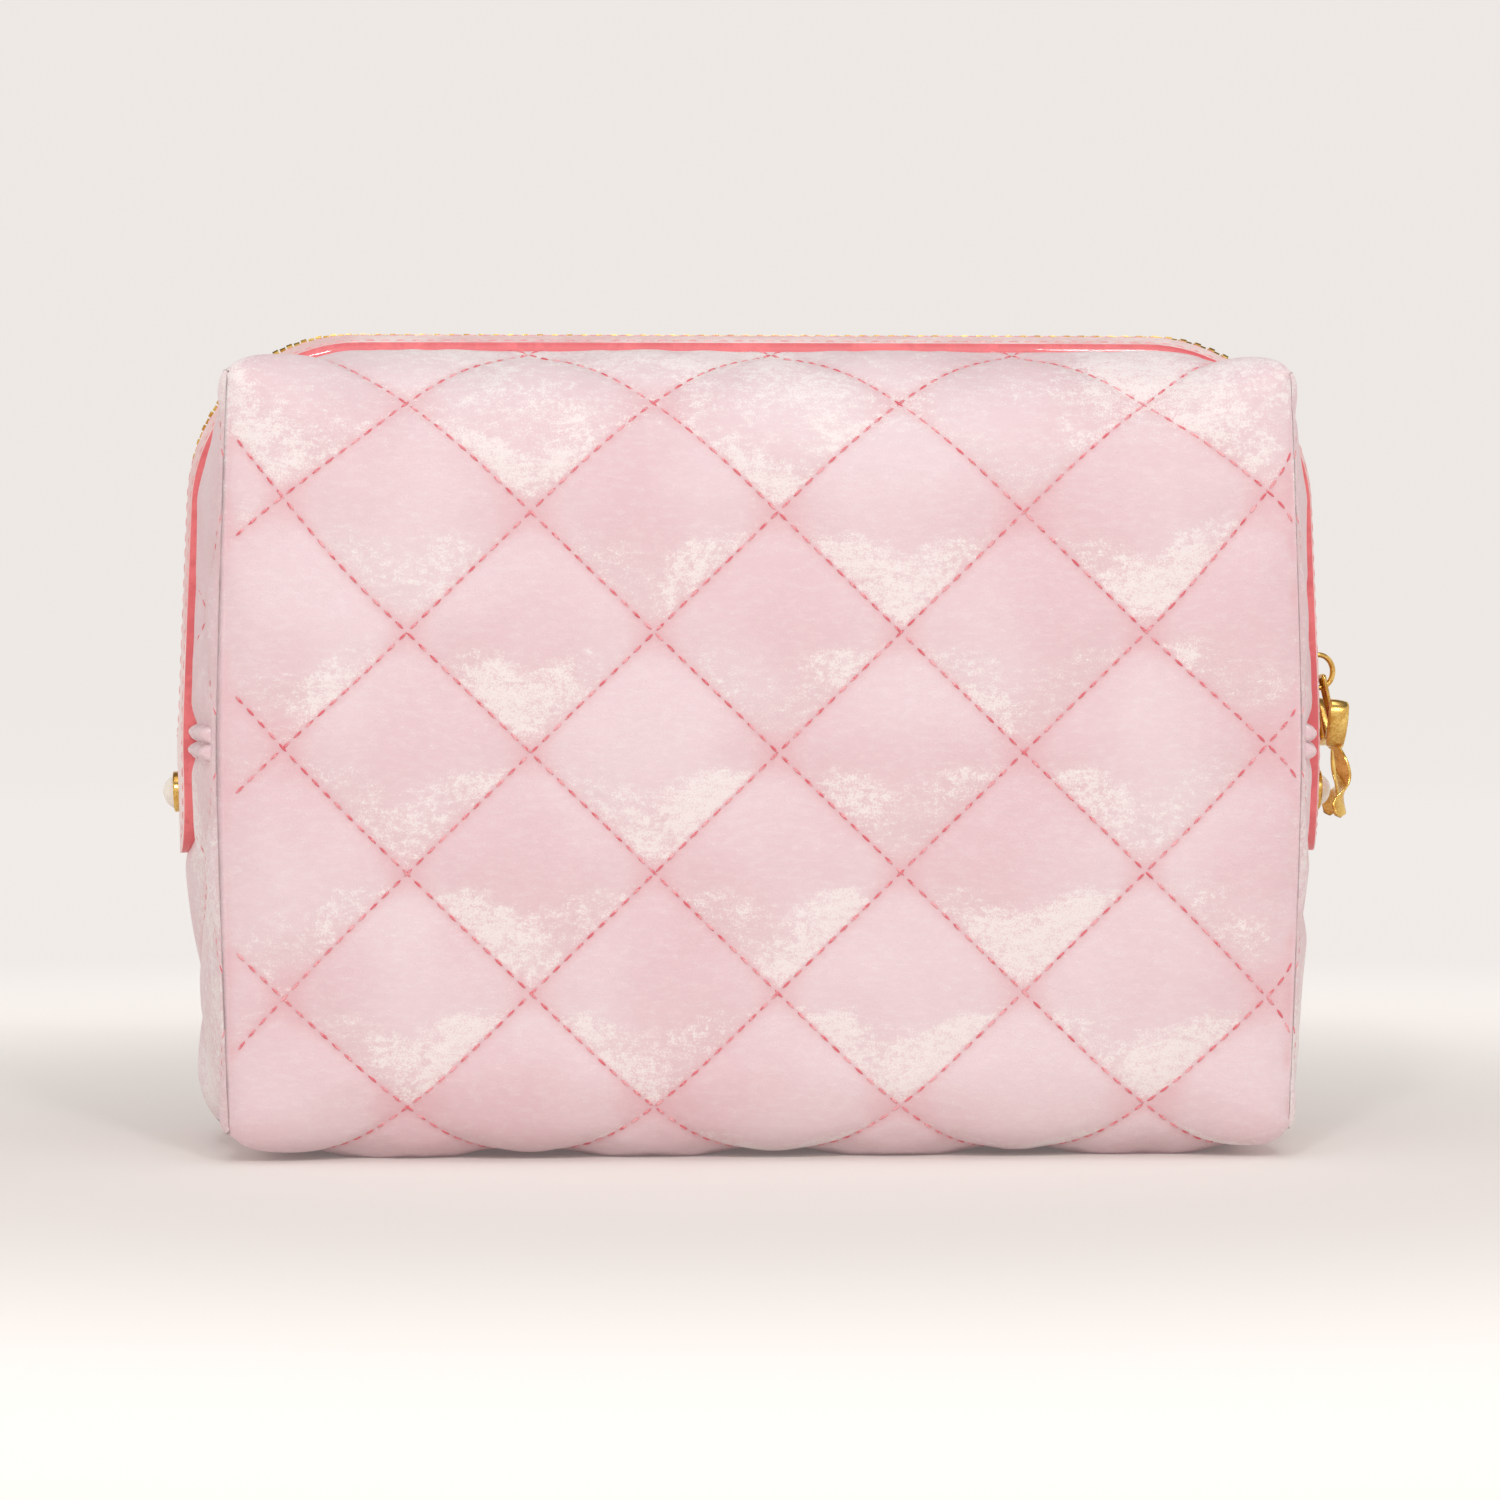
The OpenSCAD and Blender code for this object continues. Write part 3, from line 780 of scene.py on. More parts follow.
    def cast(self, ray: np.ndarray, reach: float) -> np.ndarray:
        """Where rays from the middle of the bag leave it, by halving the stretch that crosses it.

        Args:
            ray: Direction of each ray.
            reach: Length of a ray, past the surface.

        Returns:
            One point per ray.
        """
        origin = np.array([0.0, 0.0, self.mid_z])
        low, high = np.zeros(len(ray)), np.full(len(ray), reach)
        for _ in range(40):
            mid = (low + high) / 2.0
            inside = self.distance(origin + ray * mid[:, None]) < 0.0
            low, high = np.where(inside, mid, low), np.where(inside, high, mid)
        return origin + ray * low[:, None]

    def profile(self, count: int = 1600) -> np.ndarray:
        """Outline of the front half at X = 0, from the trim over the front to the base's middle.

        Args:
            count: Number of rays.

        Returns:
            Rows of Y and Z, in order.
        """
        start = np.arctan2(self.trim_y, self.height - self.mid_z)
        angle = np.linspace(start, np.pi, count)
        ray = np.stack([np.zeros(count), -np.sin(angle), np.cos(angle)], axis=1)
        return self.cast(ray, 2.0 * self.height)[:, 1:]


@dataclass
class Quilting:
    """The diamonds of the quilting, in cells of the cloth's grid."""

    half_x: float = 25.25
    half_z: float = 24.6
    phase_x: float = 3.2
    phase_z: float = 84.0
    cells: int = 10

    @property
    def cell_x(self) -> float:
        """Width of a cell."""
        return self.half_x / self.cells

    @property
    def cell_z(self) -> float:
        """Height of a cell."""
        return self.half_z / self.cells

    def puff(self, i: np.ndarray, k: np.ndarray) -> np.ndarray:
        """Rise of the cloth, from 0 on a line of stitches to 1 in the middle of a diamond.

        The two families of lines lie where half the sum, and half the difference, of the cell
        numbers is a whole number of diamonds. The rise is the product of a sine arch for each.
        """
        a = np.abs(np.sin(np.pi * (i + k) / (2.0 * self.cells)))
        b = np.abs(np.sin(np.pi * (i - k) / (2.0 * self.cells)))
        return (a * b) ** 0.45

    def on_line(self, i: np.ndarray, k: np.ndarray) -> tuple[np.ndarray, np.ndarray]:
        """Which cell corners lie on each family's lines."""
        period = 2 * self.cells
        whole = (np.abs(i - np.round(i)) < 1e-6) & (np.abs(k - np.round(k)) < 1e-6)
        total = np.round(i + k).astype(int)
        gap = np.round(i - k).astype(int)
        return whole & (total % period == 0), whole & (gap % period == 0)


@dataclass
class ClothGrid:
    """One half of the bag's cloth as three grids that share their edges.

    The wrap runs from the trim over the front edge, down the front and under to the middle of
    the base. A side panel at each end runs from the upright seam to the trim and, lower down,
    to the middle. Cell numbers i and k count along X and down the cloth.
    """

    form: BagForm
    quilt: Quilting
    points: np.ndarray = field(default_factory=lambda: np.zeros((0, 3)))
    cell: np.ndarray = field(default_factory=lambda: np.zeros((0, 2)))
    faces: list = field(default_factory=list)
    lines: list = field(default_factory=list)

    def rows(self) -> tuple[np.ndarray, np.ndarray]:
        """Places of the rows on the profile.

        Returns:
            Y and Z of every row, and the row's cell number k.
        """
        profile = self.form.profile()
        gaps = np.linalg.norm(np.diff(profile, axis=0), axis=1)
        length = np.concatenate([[0.0], np.cumsum(gaps)])
        not_front = np.abs(profile[:, 0]) < 30.0
        zero = length[np.argmin(np.abs(profile[:, 1] - self.quilt.phase_z) + not_front * 1e3)]
        step = self.quilt.cell_z
        first = int(np.ceil(-zero / step + 0.3))
        last = int(np.floor((length[-1] - zero) / step - 0.3))
        k = np.concatenate([[-zero / step], np.arange(first, last + 1), [(length[-1] - zero) / step]])
        at = zero + k * step
        place = np.stack([np.interp(at, length, profile[:, c]) for c in (0, 1)], axis=1)
        return place, k

    @property
    def x_seam(self) -> float:
        """Distance of the upright seam from the middle."""
        return self.form.half_w - self.form.seam_in - 0.5

    @property
    def z_high(self) -> float:
        """Height of the upright seam's upper end."""
        return self.form.height - float(self.form.fall(np.array(self.form.half_d)))

    @property
    def z_low(self) -> float:
        """Height of the upright seam's lower end."""
        return self.form.base_lift * 0.6

    def build(self) -> None:
        """Builds the three grids, in the front half's place, and welds them.

        The rows between tip and toe are those where the profile runs more down than across.
        """
        place, k = self.rows()
        slant = np.abs(np.gradient(place, axis=0))
        upright = np.flatnonzero(slant[:, 1] > slant[:, 0])
        tip, toe = upright[0], upright[-1]
        edge = self._edge_line(place, tip, toe)
        self._wrap(place, k, edge)
        self._end_panels(edge, k, tip, toe)
        self._weld()

    def _edge_line(self, place: np.ndarray, tip: int, toe: int) -> np.ndarray:
        """The wrap's right-hand edge: up the seam, then over the top and under the base.

        Over the top and the base, X comes in from the bag's half width to the seam by a power
        of the distance from Y = 0, and Z follows the roof or the lift of the base's rim.

        Args:
            place: Y and Z of every row.
            tip: Row at the seam's upper end.
            toe: Row at its lower end.

        Returns:
            One point per row.
        """
        form, count = self.form, len(place)
        rows = np.arange(count)
        above, below = rows < tip, rows > toe
        edge = np.empty((count, 3))
        z_front = place[tip : toe + 1, 1]
        tall = (z_front - z_front[-1]) * (self.z_high - self.z_low) / (z_front[0] - z_front[-1])
        edge[tip : toe + 1, 0] = self.x_seam
        edge[tip : toe + 1, 1] = -form.half_d
        edge[tip : toe + 1, 2] = self.z_low + tall
        edge[above, 1] = np.interp(rows, [0, tip], [-form.trim_y, -form.half_d])[above]
        edge[below, 1] = np.interp(rows, [toe, count - 1], [-form.half_d, 0.0])[below]
        near = np.clip(-edge[:, 1] / form.half_d, 0.0, 1.0)
        beyond = above | below
        edge[beyond, 0] = form.half_w - (form.half_w - self.x_seam) * near[beyond] ** 1.7
        edge[above, 2] = form.height - form.fall(-edge[above, 1])
        edge[below, 2] = self.z_low * near[below] ** 2
        return edge

    def _wrap(self, place: np.ndarray, k: np.ndarray, edge: np.ndarray) -> None:
        """Adds the wrap: the profile carried along X, which turns into the edge line at the ends.

        Args:
            place: Y and Z of every row.
            k: Cell number of every row.
            edge: The right-hand edge.
        """
        form, quilt, x_seam = self.form, self.quilt, self.x_seam
        first = np.ceil((4.0 - x_seam - quilt.phase_x) / quilt.cell_x)
        last = np.floor((x_seam - 1.0 - quilt.phase_x) / quilt.cell_x)
        i_inner = np.arange(first, last + 1)
        i_inner = i_inner[np.abs(quilt.phase_x + i_inner * quilt.cell_x) < x_seam - 1.0]
        i_left = (-x_seam - quilt.phase_x) / quilt.cell_x
        i_right = (x_seam - quilt.phase_x) / quilt.cell_x
        i_all = np.concatenate([[i_left], i_inner, [i_right]])
        x_all = quilt.phase_x + i_all * quilt.cell_x
        middle = np.empty((len(place), len(x_all), 3))
        middle[..., 0] = x_all
        middle[..., 1:] = place[:, None]
        ends = np.empty_like(middle)
        ends[..., 0] = edge[:, None, 0] * (x_all / x_seam)
        ends[..., 1:] = edge[:, None, 1:]
        weight = smoothstep(np.abs(x_all), form.half_w - 40.0, x_seam)[None, :, None]
        cells = np.stack(np.meshgrid(k, i_all, indexing="ij")[::-1], axis=-1)
        self._add(middle * (1.0 - weight) + ends * weight, cells, flip=True)

    def _end_panels(self, edge: np.ndarray, k: np.ndarray, tip: int, toe: int) -> None:
        """Adds the panel at each end, from the upright seam to the trim or the middle.

        Columns run in from the seam. Their Y goes evenly from the top row's to the bottom row's,
        and the rows fan out to meet the roof and the base's rim at the ends.

        Args:
            edge: The wrap's right-hand edge.
            k: Cell number of every row.
            tip: Row at the seam's upper end.
            toe: Row at its lower end.
        """
        form, z_seam = self.form, edge[tip : toe + 1, 2]
        n_top, n_base = tip, len(edge) - 1 - toe
        y_top = np.concatenate([edge[tip::-1, 1], np.linspace(edge[0, 1], 0.0, n_base - n_top + 1)[1:]])
        share = ((z_seam - self.z_low) / (self.z_high - self.z_low))[:, None]
        y = edge[toe:, 1][None, :] * (1.0 - share) + y_top[None, :] * share
        far = np.clip(-y / form.half_d, 0.0, 1.0)
        x = form.half_w - (form.half_w - self.x_seam) * far**1.7
        roof = form.fall(np.array(form.half_d)) - form.fall(np.abs(y))
        shift = np.where(share > 0.5, roof, self.z_low * (far**2 - 1.0))
        z = z_seam[:, None] + shift * np.abs(2.0 * share - 1.0) ** 6
        columns = np.arange(y.shape[1])
        keep = ~((columns[None, :] > n_top) & (z > form.slit_z - 2.0))
        cells = np.stack(np.meshgrid(k[tip : toe + 1], columns - columns[-1], indexing="ij")[::-1],
                         axis=-1)
        for sign in (1.0, -1.0):
            self._add(np.stack([sign * x, y, z], axis=-1), cells, flip=sign < 0.0, keep=keep)

    def _add(self, place: np.ndarray, cells: np.ndarray, flip: bool,
             keep: np.ndarray | None = None) -> None:
        """Adds a grid: its faces, with quads on a stitch line cut in two along it.

        Args:
            place: Points, by row and column.
            cells: Cell numbers i and k of each point.
            flip: True to turn the faces over.
            keep: Which points stay, or None for all.
        """
        rows, columns = place.shape[:2]
        start = len(self.points)
        quads = grid_faces(rows, columns, start, flip=flip)
        flat = cells.reshape(-1, 2)
        line_a, line_b = self.quilt.on_line(flat[:, 0], flat[:, 1])
        local = quads - start
        if keep is not None:
            good = keep.reshape(-1)[local].all(axis=1)
            quads, local = quads[good], local[good]
        cut = np.zeros(len(quads), dtype=int)
        for member in (line_a[local], line_b[local]):
            cut[member[:, 0] & member[:, 2]] = 1
            cut[member[:, 1] & member[:, 3]] = 2
        for face, way in zip(quads.tolist(), cut.tolist()):
            a, b, c, d = face
            if way == 1:
                self.faces += [[a, b, c], [a, c, d]]
            elif way == 2:
                self.faces += [[a, b, d], [b, c, d]]
            else:
                self.faces.append(face)
        self._trace(rows, columns, start, line_a, line_b, keep)
        self.points = np.concatenate([self.points, place.reshape(-1, 3)])
        self.cell = np.concatenate([self.cell, flat])

    def _trace(self, rows: int, columns: int, start: int, line_a: np.ndarray, line_b: np.ndarray,
               keep: np.ndarray | None) -> None:
        """Follows each stitch line of a grid along its diagonals and keeps its points' numbers.

        Args:
            rows: Number of rows of the grid.
            columns: Number of columns.
            start: Number of the grid's first point.
            line_a: Which points lie on the first family's lines.
            line_b: Which lie on the second's.
            keep: Which points stay, or None for all.
        """
        for lines, step in ((line_a, -1), (line_b, 1)):
            mask = lines.reshape(rows, columns)
            if keep is not None:
                mask = mask & keep
            for r0, c0 in np.argwhere(mask):
                before = (r0 - 1, c0 - step)
                if 0 <= before[0] and 0 <= before[1] < columns and mask[before]:
                    continue
                run = []
                r, c = r0, c0
                while r < rows and 0 <= c < columns and mask[r, c]:
                    run.append(start + r * columns + c)
                    r, c = r + 1, c + step
                if len(run) > 3:
                    self.lines.append(run)

    def _weld(self) -> None:
        """Welds the grids where they share edges, and drops points without a face."""
        points, faces, number = weld(self.points, self.faces)
        cell = np.zeros((len(points), 2))
        cell[number] = self.cell
        used = np.zeros(len(points), dtype=bool)
        used[np.concatenate([np.asarray(f) for f in faces])] = True
        renumber = np.cumsum(used) - 1
        self.faces = [[int(renumber[v]) for v in f] for f in faces]
        self.lines = [[int(renumber[number[v]]) for v in run] for run in self.lines]
        self.points, self.cell = points[used], cell[used]


# ---------------------------------------------------------------- pieces in two halves


def mirrored(points: np.ndarray, faces: list) -> tuple[np.ndarray, list]:
    """Adds the back half to a front half, welding the two where they meet at Y = 0.

    Args:
        points: Points of the front half, in millimetres.
        faces: Its faces.

    Returns:
        Points and faces of both halves. The front half's points keep their numbers.
    """
    count = len(points)
    number = np.arange(count) + count
    middle = np.abs(points[:, 1]) < 0.02
    number[middle] = np.flatnonzero(middle)
    spare = np.cumsum(~middle) - 1
    number[~middle] = count + spare[~middle]
    back = points[~middle] * [1.0, -1.0, 1.0]
    flipped = [[int(number[v]) for v in reversed(face)] for face in faces]
    return np.concatenate([points, back]), list(faces) + flipped


def split_halves(whole: bpy.types.Object, name: str) -> dict[Half, bpy.types.Object]:
    """Splits a piece at Y = 0, keeping the whole piece's normals so that no line shows.

    Args:
        whole: The piece. It is removed.
        name: Start of the names of the two pieces.

    Returns:
        The piece of each half.
    """
    mesh = whole.data
    points, normals = read_points(mesh), read_normals(mesh)
    centres = np.empty(len(mesh.polygons) * 3, dtype=np.float32)
    mesh.polygons.foreach_get("center", centres)
    slots = np.empty(len(mesh.polygons), dtype=np.int32)
    mesh.polygons.foreach_get("material_index", slots)
    side = centres.reshape(-1, 3)[:, 1]
    faces = [tuple(p.vertices) for p in mesh.polygons]
    layers = {layer.name: read_layer(layer) for layer in mesh.attributes
              if layer.domain == "POINT" and layer.data_type == "FLOAT"}
    made = {}
    for half in Half:
        chosen = np.flatnonzero(side * half.value > 0.0)
        kept = [faces[i] for i in chosen]
        used = np.zeros(len(points), dtype=bool)
        used[np.concatenate([np.asarray(f) for f in kept])] = True
        number = np.cumsum(used) - 1
        obj = new_mesh(f"{name}_{half.word}", points[used], [[int(number[v]) for v in f] for f in kept],
                       list(mesh.materials), slots[chosen])
        for key, values in layers.items():
            write_layer(obj.data, key, values[used])
        obj.data.normals_split_custom_set_from_vertices(normals[used].tolist())
        made[half] = obj
    bpy.data.objects.remove(whole)
    bpy.data.meshes.remove(mesh)
    return made


def read_layer(layer: bpy.types.Attribute) -> np.ndarray:
    """Reads a number per point."""
    values = np.empty(len(layer.data), dtype=np.float32)
    layer.data.foreach_get("value", values)
    return values


def write_layer(mesh: bpy.types.Mesh, name: str, values: np.ndarray) -> None:
    """Writes a number per point for the shaders to read."""
    layer = mesh.attributes.new(name, "FLOAT", "POINT")
    layer.data.foreach_set("value", np.asarray(values, dtype=np.float32))


def fold_at_sides(obj: bpy.types.Object, half: Half, low: float, high: float) -> None:
    """Lets a piece bend between the lower shell and its half of the mouth.

    Args:
        obj: The piece.
        half: The half that its upper part opens with.
        low: Height in millimetres below which it stays with the lower shell.
        high: Height above which it moves with the half.
    """
    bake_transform(obj, SHELL, half.body, (0.0, 0.0, low * MM), (0.0, 0.0, high * MM))


@dataclass
class QuiltedShell:
    """The quilted velvet: puffed by a cloth simulation, with stitches in its creases."""

    form: BagForm
    quilt: Quilting
    finishes: Finishes
    stitch_depth: float = 2.0
    puff_rise: float = 0.4
    seam_depth: float = 1.5
    trim_depth: float = 1.2
    trim_swell: float = 0.3
    cross_seam_z: float = 86.5
    pressure: float = 9.0
    growth: float = 0.012
    reach: float = 2.2
    sink: float = 0.5
    frames: int = 20
    stitch_step: float = 3.25
    stitch_length: float = 2.25
    stitch_radius: float = 0.27
    fold_low: float = CLOTH_FOLD_LOW
    fold_high: float = CLOTH_FOLD_HIGH

    def levels(self, grid: ClothGrid) -> tuple[np.ndarray, np.ndarray]:
        """Depth of the cloth below the form at every point, and which points are sewn down.

        Args:
            grid: The cloth's half grid.

        Returns:
            The field's level at each point and the sewn points.
        """
        p = grid.points
        puff = self.quilt.puff(grid.cell[:, 0], grid.cell[:, 1])
        level = -self.stitch_depth + (self.stitch_depth + self.puff_rise) * puff
        x, y = np.abs(p[:, 0]), np.abs(p[:, 1])
        seam_x = self.form.half_w - self.form.seam_in - 0.5
        inward = np.maximum(0.0, self.form.half_d - y - 3.0) * (x > seam_x - 2.0)
        from_seam = np.abs(x - seam_x) + inward
        to_seam = smoothstep(from_seam, 0.0, 10.0)
        level = -self.seam_depth * (1.0 - to_seam) + level * to_seam
        at_side = x > seam_x + 1.0
        on_top = (p[:, 2] > self.form.slit_z) | at_side
        from_trim = np.where(on_top, smoothstep(y, 16.5, 24.0), 1.0)
        upper = smoothstep(p[:, 2], 60.0, 66.0)
        under = np.where(at_side, 1.0 - (1.0 - from_trim) * upper, from_trim)
        beside = -self.trim_depth + (self.trim_depth + self.trim_swell) * smoothstep(y, 14.3, 16.8)
        level = beside * (1.0 - under) + level * under
        beside_trim = at_side & (y > 14.0)
        from_cross = np.abs(p[:, 2] - self.cross_seam_z)
        cross = np.where(beside_trim, smoothstep(from_cross, 0.0, 8.0), 1.0)
        level = -2.0 * (1.0 - cross) + level * cross
        line_a, line_b = self.quilt.on_line(grid.cell[:, 0], grid.cell[:, 1])
        sewn = line_a | line_b | (from_seam < 0.5) | (under < 0.2)
        sewn |= beside_trim & (from_cross < 2.2)
        return level, sewn

    def build(self) -> None:
        """Builds the velvet of both halves and their stitches."""
        grid = ClothGrid(self.form, self.quilt)
        grid.build()
        level, sewn = self.levels(grid)
        front = self.form.settle(grid.points, level)
        front[np.abs(grid.points[:, 1]) < 0.02, 1] = 0.0
        points, faces = mirrored(front, grid.faces)
        whole = new_mesh("velvet_whole", points, faces, [self.finishes.velvet])
        pinned = np.concatenate([sewn, sewn[np.abs(front[:, 1]) >= 0.02]])
        self._inflate(whole, pinned)
        finish_shape(whole, 1)
        self._shade(whole)
        read = read_points(whole.data), read_normals(whole.data)
        self._stitches(grid.lines, *read)
        pieces = split_halves(whole, "quilted_velvet")
        for half, piece in pieces.items():
            fold_at_sides(piece, half, self.fold_low, self.fold_high)
            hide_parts(f"velvet_{half.word}", f"velvet_fold_{half.word}",
                        f"wadding_{half.word}", f"wadding_fold_{half.word}")
            LOG.info("%s: %d faces", piece.name, len(piece.data.polygons))
        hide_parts("velvet_lower", "wadding_lower")

    def _inflate(self, obj: bpy.types.Object, pinned: np.ndarray) -> None:
        """Puffs the cloth with pressure while its sewn points stay put.

        Args:
            obj: The cloth.
            pinned: Which points are sewn down.
        """
        start = read_points(obj.data)
        group = obj.vertex_groups.new(name="sewn")
        group.add(np.flatnonzero(pinned).tolist(), 1.0, "REPLACE")
        mod = obj.modifiers.new("cloth", "CLOTH")
        cloth = mod.settings
        cloth.quality = 5
        cloth.mass = 0.3
        cloth.tension_stiffness = 18.0
        cloth.compression_stiffness = 18.0
        cloth.shear_stiffness = 6.0
        cloth.bending_stiffness = 0.6
        cloth.vertex_group_mass = "sewn"
        cloth.use_pressure = True
        cloth.uniform_pressure_force = self.pressure
        cloth.shrink_min = -self.growth
        cloth.effector_weights.gravity = 0.0
        mod.collision_settings.use_collision = False
        mod.point_cache.frame_start = 1
        mod.point_cache.frame_end = self.frames
        scene = bpy.context.scene
        for step in range(1, self.frames + 1):
            scene.frame_set(step)
        puffed = obj.evaluated_get(bpy.context.evaluated_depsgraph_get())
        moved = read_points(puffed.data) - start
        scene.frame_set(1)
        obj.modifiers.clear()
        obj.vertex_groups.clear()
        far = np.linalg.norm(moved, axis=1, keepdims=True)
        out = self.form.normals(start)
        rise = (moved * out).sum(axis=1, keepdims=True)
        moved += out * (np.clip(rise, -self.sink, self.reach) - rise)
        left = np.linalg.norm(moved, axis=1, keepdims=True)
        moved *= np.minimum(1.0, self.reach / np.maximum(left, 1e-6))
        LOG.info("cloth moved %.2f mm on average, %.2f at most", far.mean(), far.max())
        obj.data.vertices.foreach_set("co", ((start + moved) * MM).astype(np.float32).ravel())
        obj.data.update()

    def _shade(self, obj: bpy.types.Object) -> None:
        """Writes where sheen and shade are painted into the pile's colour.

        Painted sheen grows where the cloth turns down and away from the direction up the bag, which is
        the lower rim of each puff; it is also painted along the upright seams, over the top band and on
        the lower end panels. Painted crease shade grows with depth below the form.
        """
        points, normals = read_points(obj.data), read_normals(obj.data)
        base = self.form.normals(points)
        up = np.zeros_like(points)
        up[:, 2] = 1.0
        up[:, 1] = -0.5 * np.sign(points[:, 1]) * smoothstep(points[:, 2], 110.0, 165.0)
        up -= (up * base).sum(axis=1, keepdims=True) * base
        up /= np.maximum(np.linalg.norm(up, axis=1, keepdims=True), 1e-6)
        lean = -(normals * up).sum(axis=1)
        depth = -self.form.distance(points)
        seam_x = self.form.half_w - self.form.seam_in
        x, y, z = np.abs(points[:, 0]), np.abs(points[:, 1]), points[:, 2]
        near_seam = (1.0 - smoothstep(np.abs(x - seam_x), 0.5, 5.0)) * smoothstep(y, 36.0, 42.0)
        end_panel = smoothstep(np.abs(base[:, 0]), 0.6, 0.8)
        # Painted light: the lower end panels and the top band are made paler, as where light falls on them
        # most.
        painted_light_zones = 0.95 * end_panel * (1.0 - smoothstep(z, 80.0, 88.0))
        painted_light_zones += 0.85 * smoothstep(z, 142.0, 162.0)
        # Painted sheen: pale on the lower rim of each puff and along the upright seams, added to the painted
        # light on the panels and band.
        painted_sheen = 0.12 + smoothstep(lean, 0.02, 0.22) * (1.0 - 0.5 * end_panel) + 0.6 * near_seam + painted_light_zones
        painted_sheen = np.clip(painted_sheen, 0.0, 1.0)
        write_layer(obj.data, "painted_sheen", painted_sheen)
        # Painted shade: darker with depth below the form, in the creases, but not at the upright seams.
        crease_shade = smoothstep(depth, self.stitch_depth - 0.9, self.stitch_depth + 0.1)
        write_layer(obj.data, "crease_shade", crease_shade * (1.0 - near_seam))

    def _stitches(self, lines: list, points: np.ndarray, normals: np.ndarray) -> None:
        """Lays short stitches along every line of the quilting, on both halves.

        Args:
            lines: Point numbers along each line, in the front half.
            points: Points of the finished cloth, the front half's first.
            normals: Their normals.
        """
        starts, ends = [], []
        for run in lines:
            track = points[run] + normals[run] * 0.08
            cuts = resample(track, self.stitch_step)
            if len(cuts) < 2:
                continue
            along = cuts[1:] - cuts[:-1]
            slack = 0.5 * (1.0 - self.stitch_length / self.stitch_step)
            starts.append(cuts[:-1] + along * slack)
            ends.append(cuts[1:] - along * slack)
        first, last = np.concatenate(starts), np.concatenate(ends)
        for half in Half:
            turn = np.array([1.0, -half.value, 1.0])
            place, faces = capsules(first * turn, last * turn, self.stitch_radius, sides=5)
            if half is Half.BACK:
                faces = [face[::-1] for face in faces]
            piece = new_mesh(f"quilting_stitches_{half.word}", place, faces, [self.finishes.thread])
            fold_at_sides(piece, half, self.fold_low, self.fold_high)
            LOG.info("%s: %d stitches", piece.name, len(first))


@dataclass
class Lining:
    """The satin inside: the same form a little smaller, with soft wrinkles."""

    form: BagForm
    finishes: Finishes
    depth: float = 4.6
    wrinkle: float = 0.5
    fold_low: float = CLOTH_FOLD_LOW
    fold_high: float = CLOTH_FOLD_HIGH

    def build(self) -> None:
        """Builds both halves on a coarse grid, turned to face the inside."""
        grid = ClothGrid(self.form, Quilting(cells=5))
        grid.build()
        p = grid.points
        waves = (np.sin(p[:, 0] / 9.0 + p[:, 2] / 17.0) + np.sin(p[:, 2] / 11.0 - p[:, 1] / 7.0)
                 + np.sin(p[:, 0] / 5.3 - p[:, 1] / 6.1))
        under = smoothstep(np.abs(p[:, 1]), 14.0, 22.0)
        front = self.form.settle(p, -self.depth + self.wrinkle * under * waves / 3.0)
        front[np.abs(p[:, 1]) < 0.02, 1] = 0.0
        points, faces = mirrored(front, [face[::-1] for face in grid.faces])
        whole = new_mesh("lining_whole", points, faces, [self.finishes.lining])
        finish_shape(whole, 1)
        pieces = split_halves(whole, "satin_lining")
        for half, piece in pieces.items():
            fold_at_sides(piece, half, self.fold_low, self.fold_high)
            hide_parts(f"lining_{half.word}", f"lining_fold_{half.word}")
            LOG.info("%s: %d faces", piece.name, len(piece.data.polygons))
        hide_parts("lining_lower")


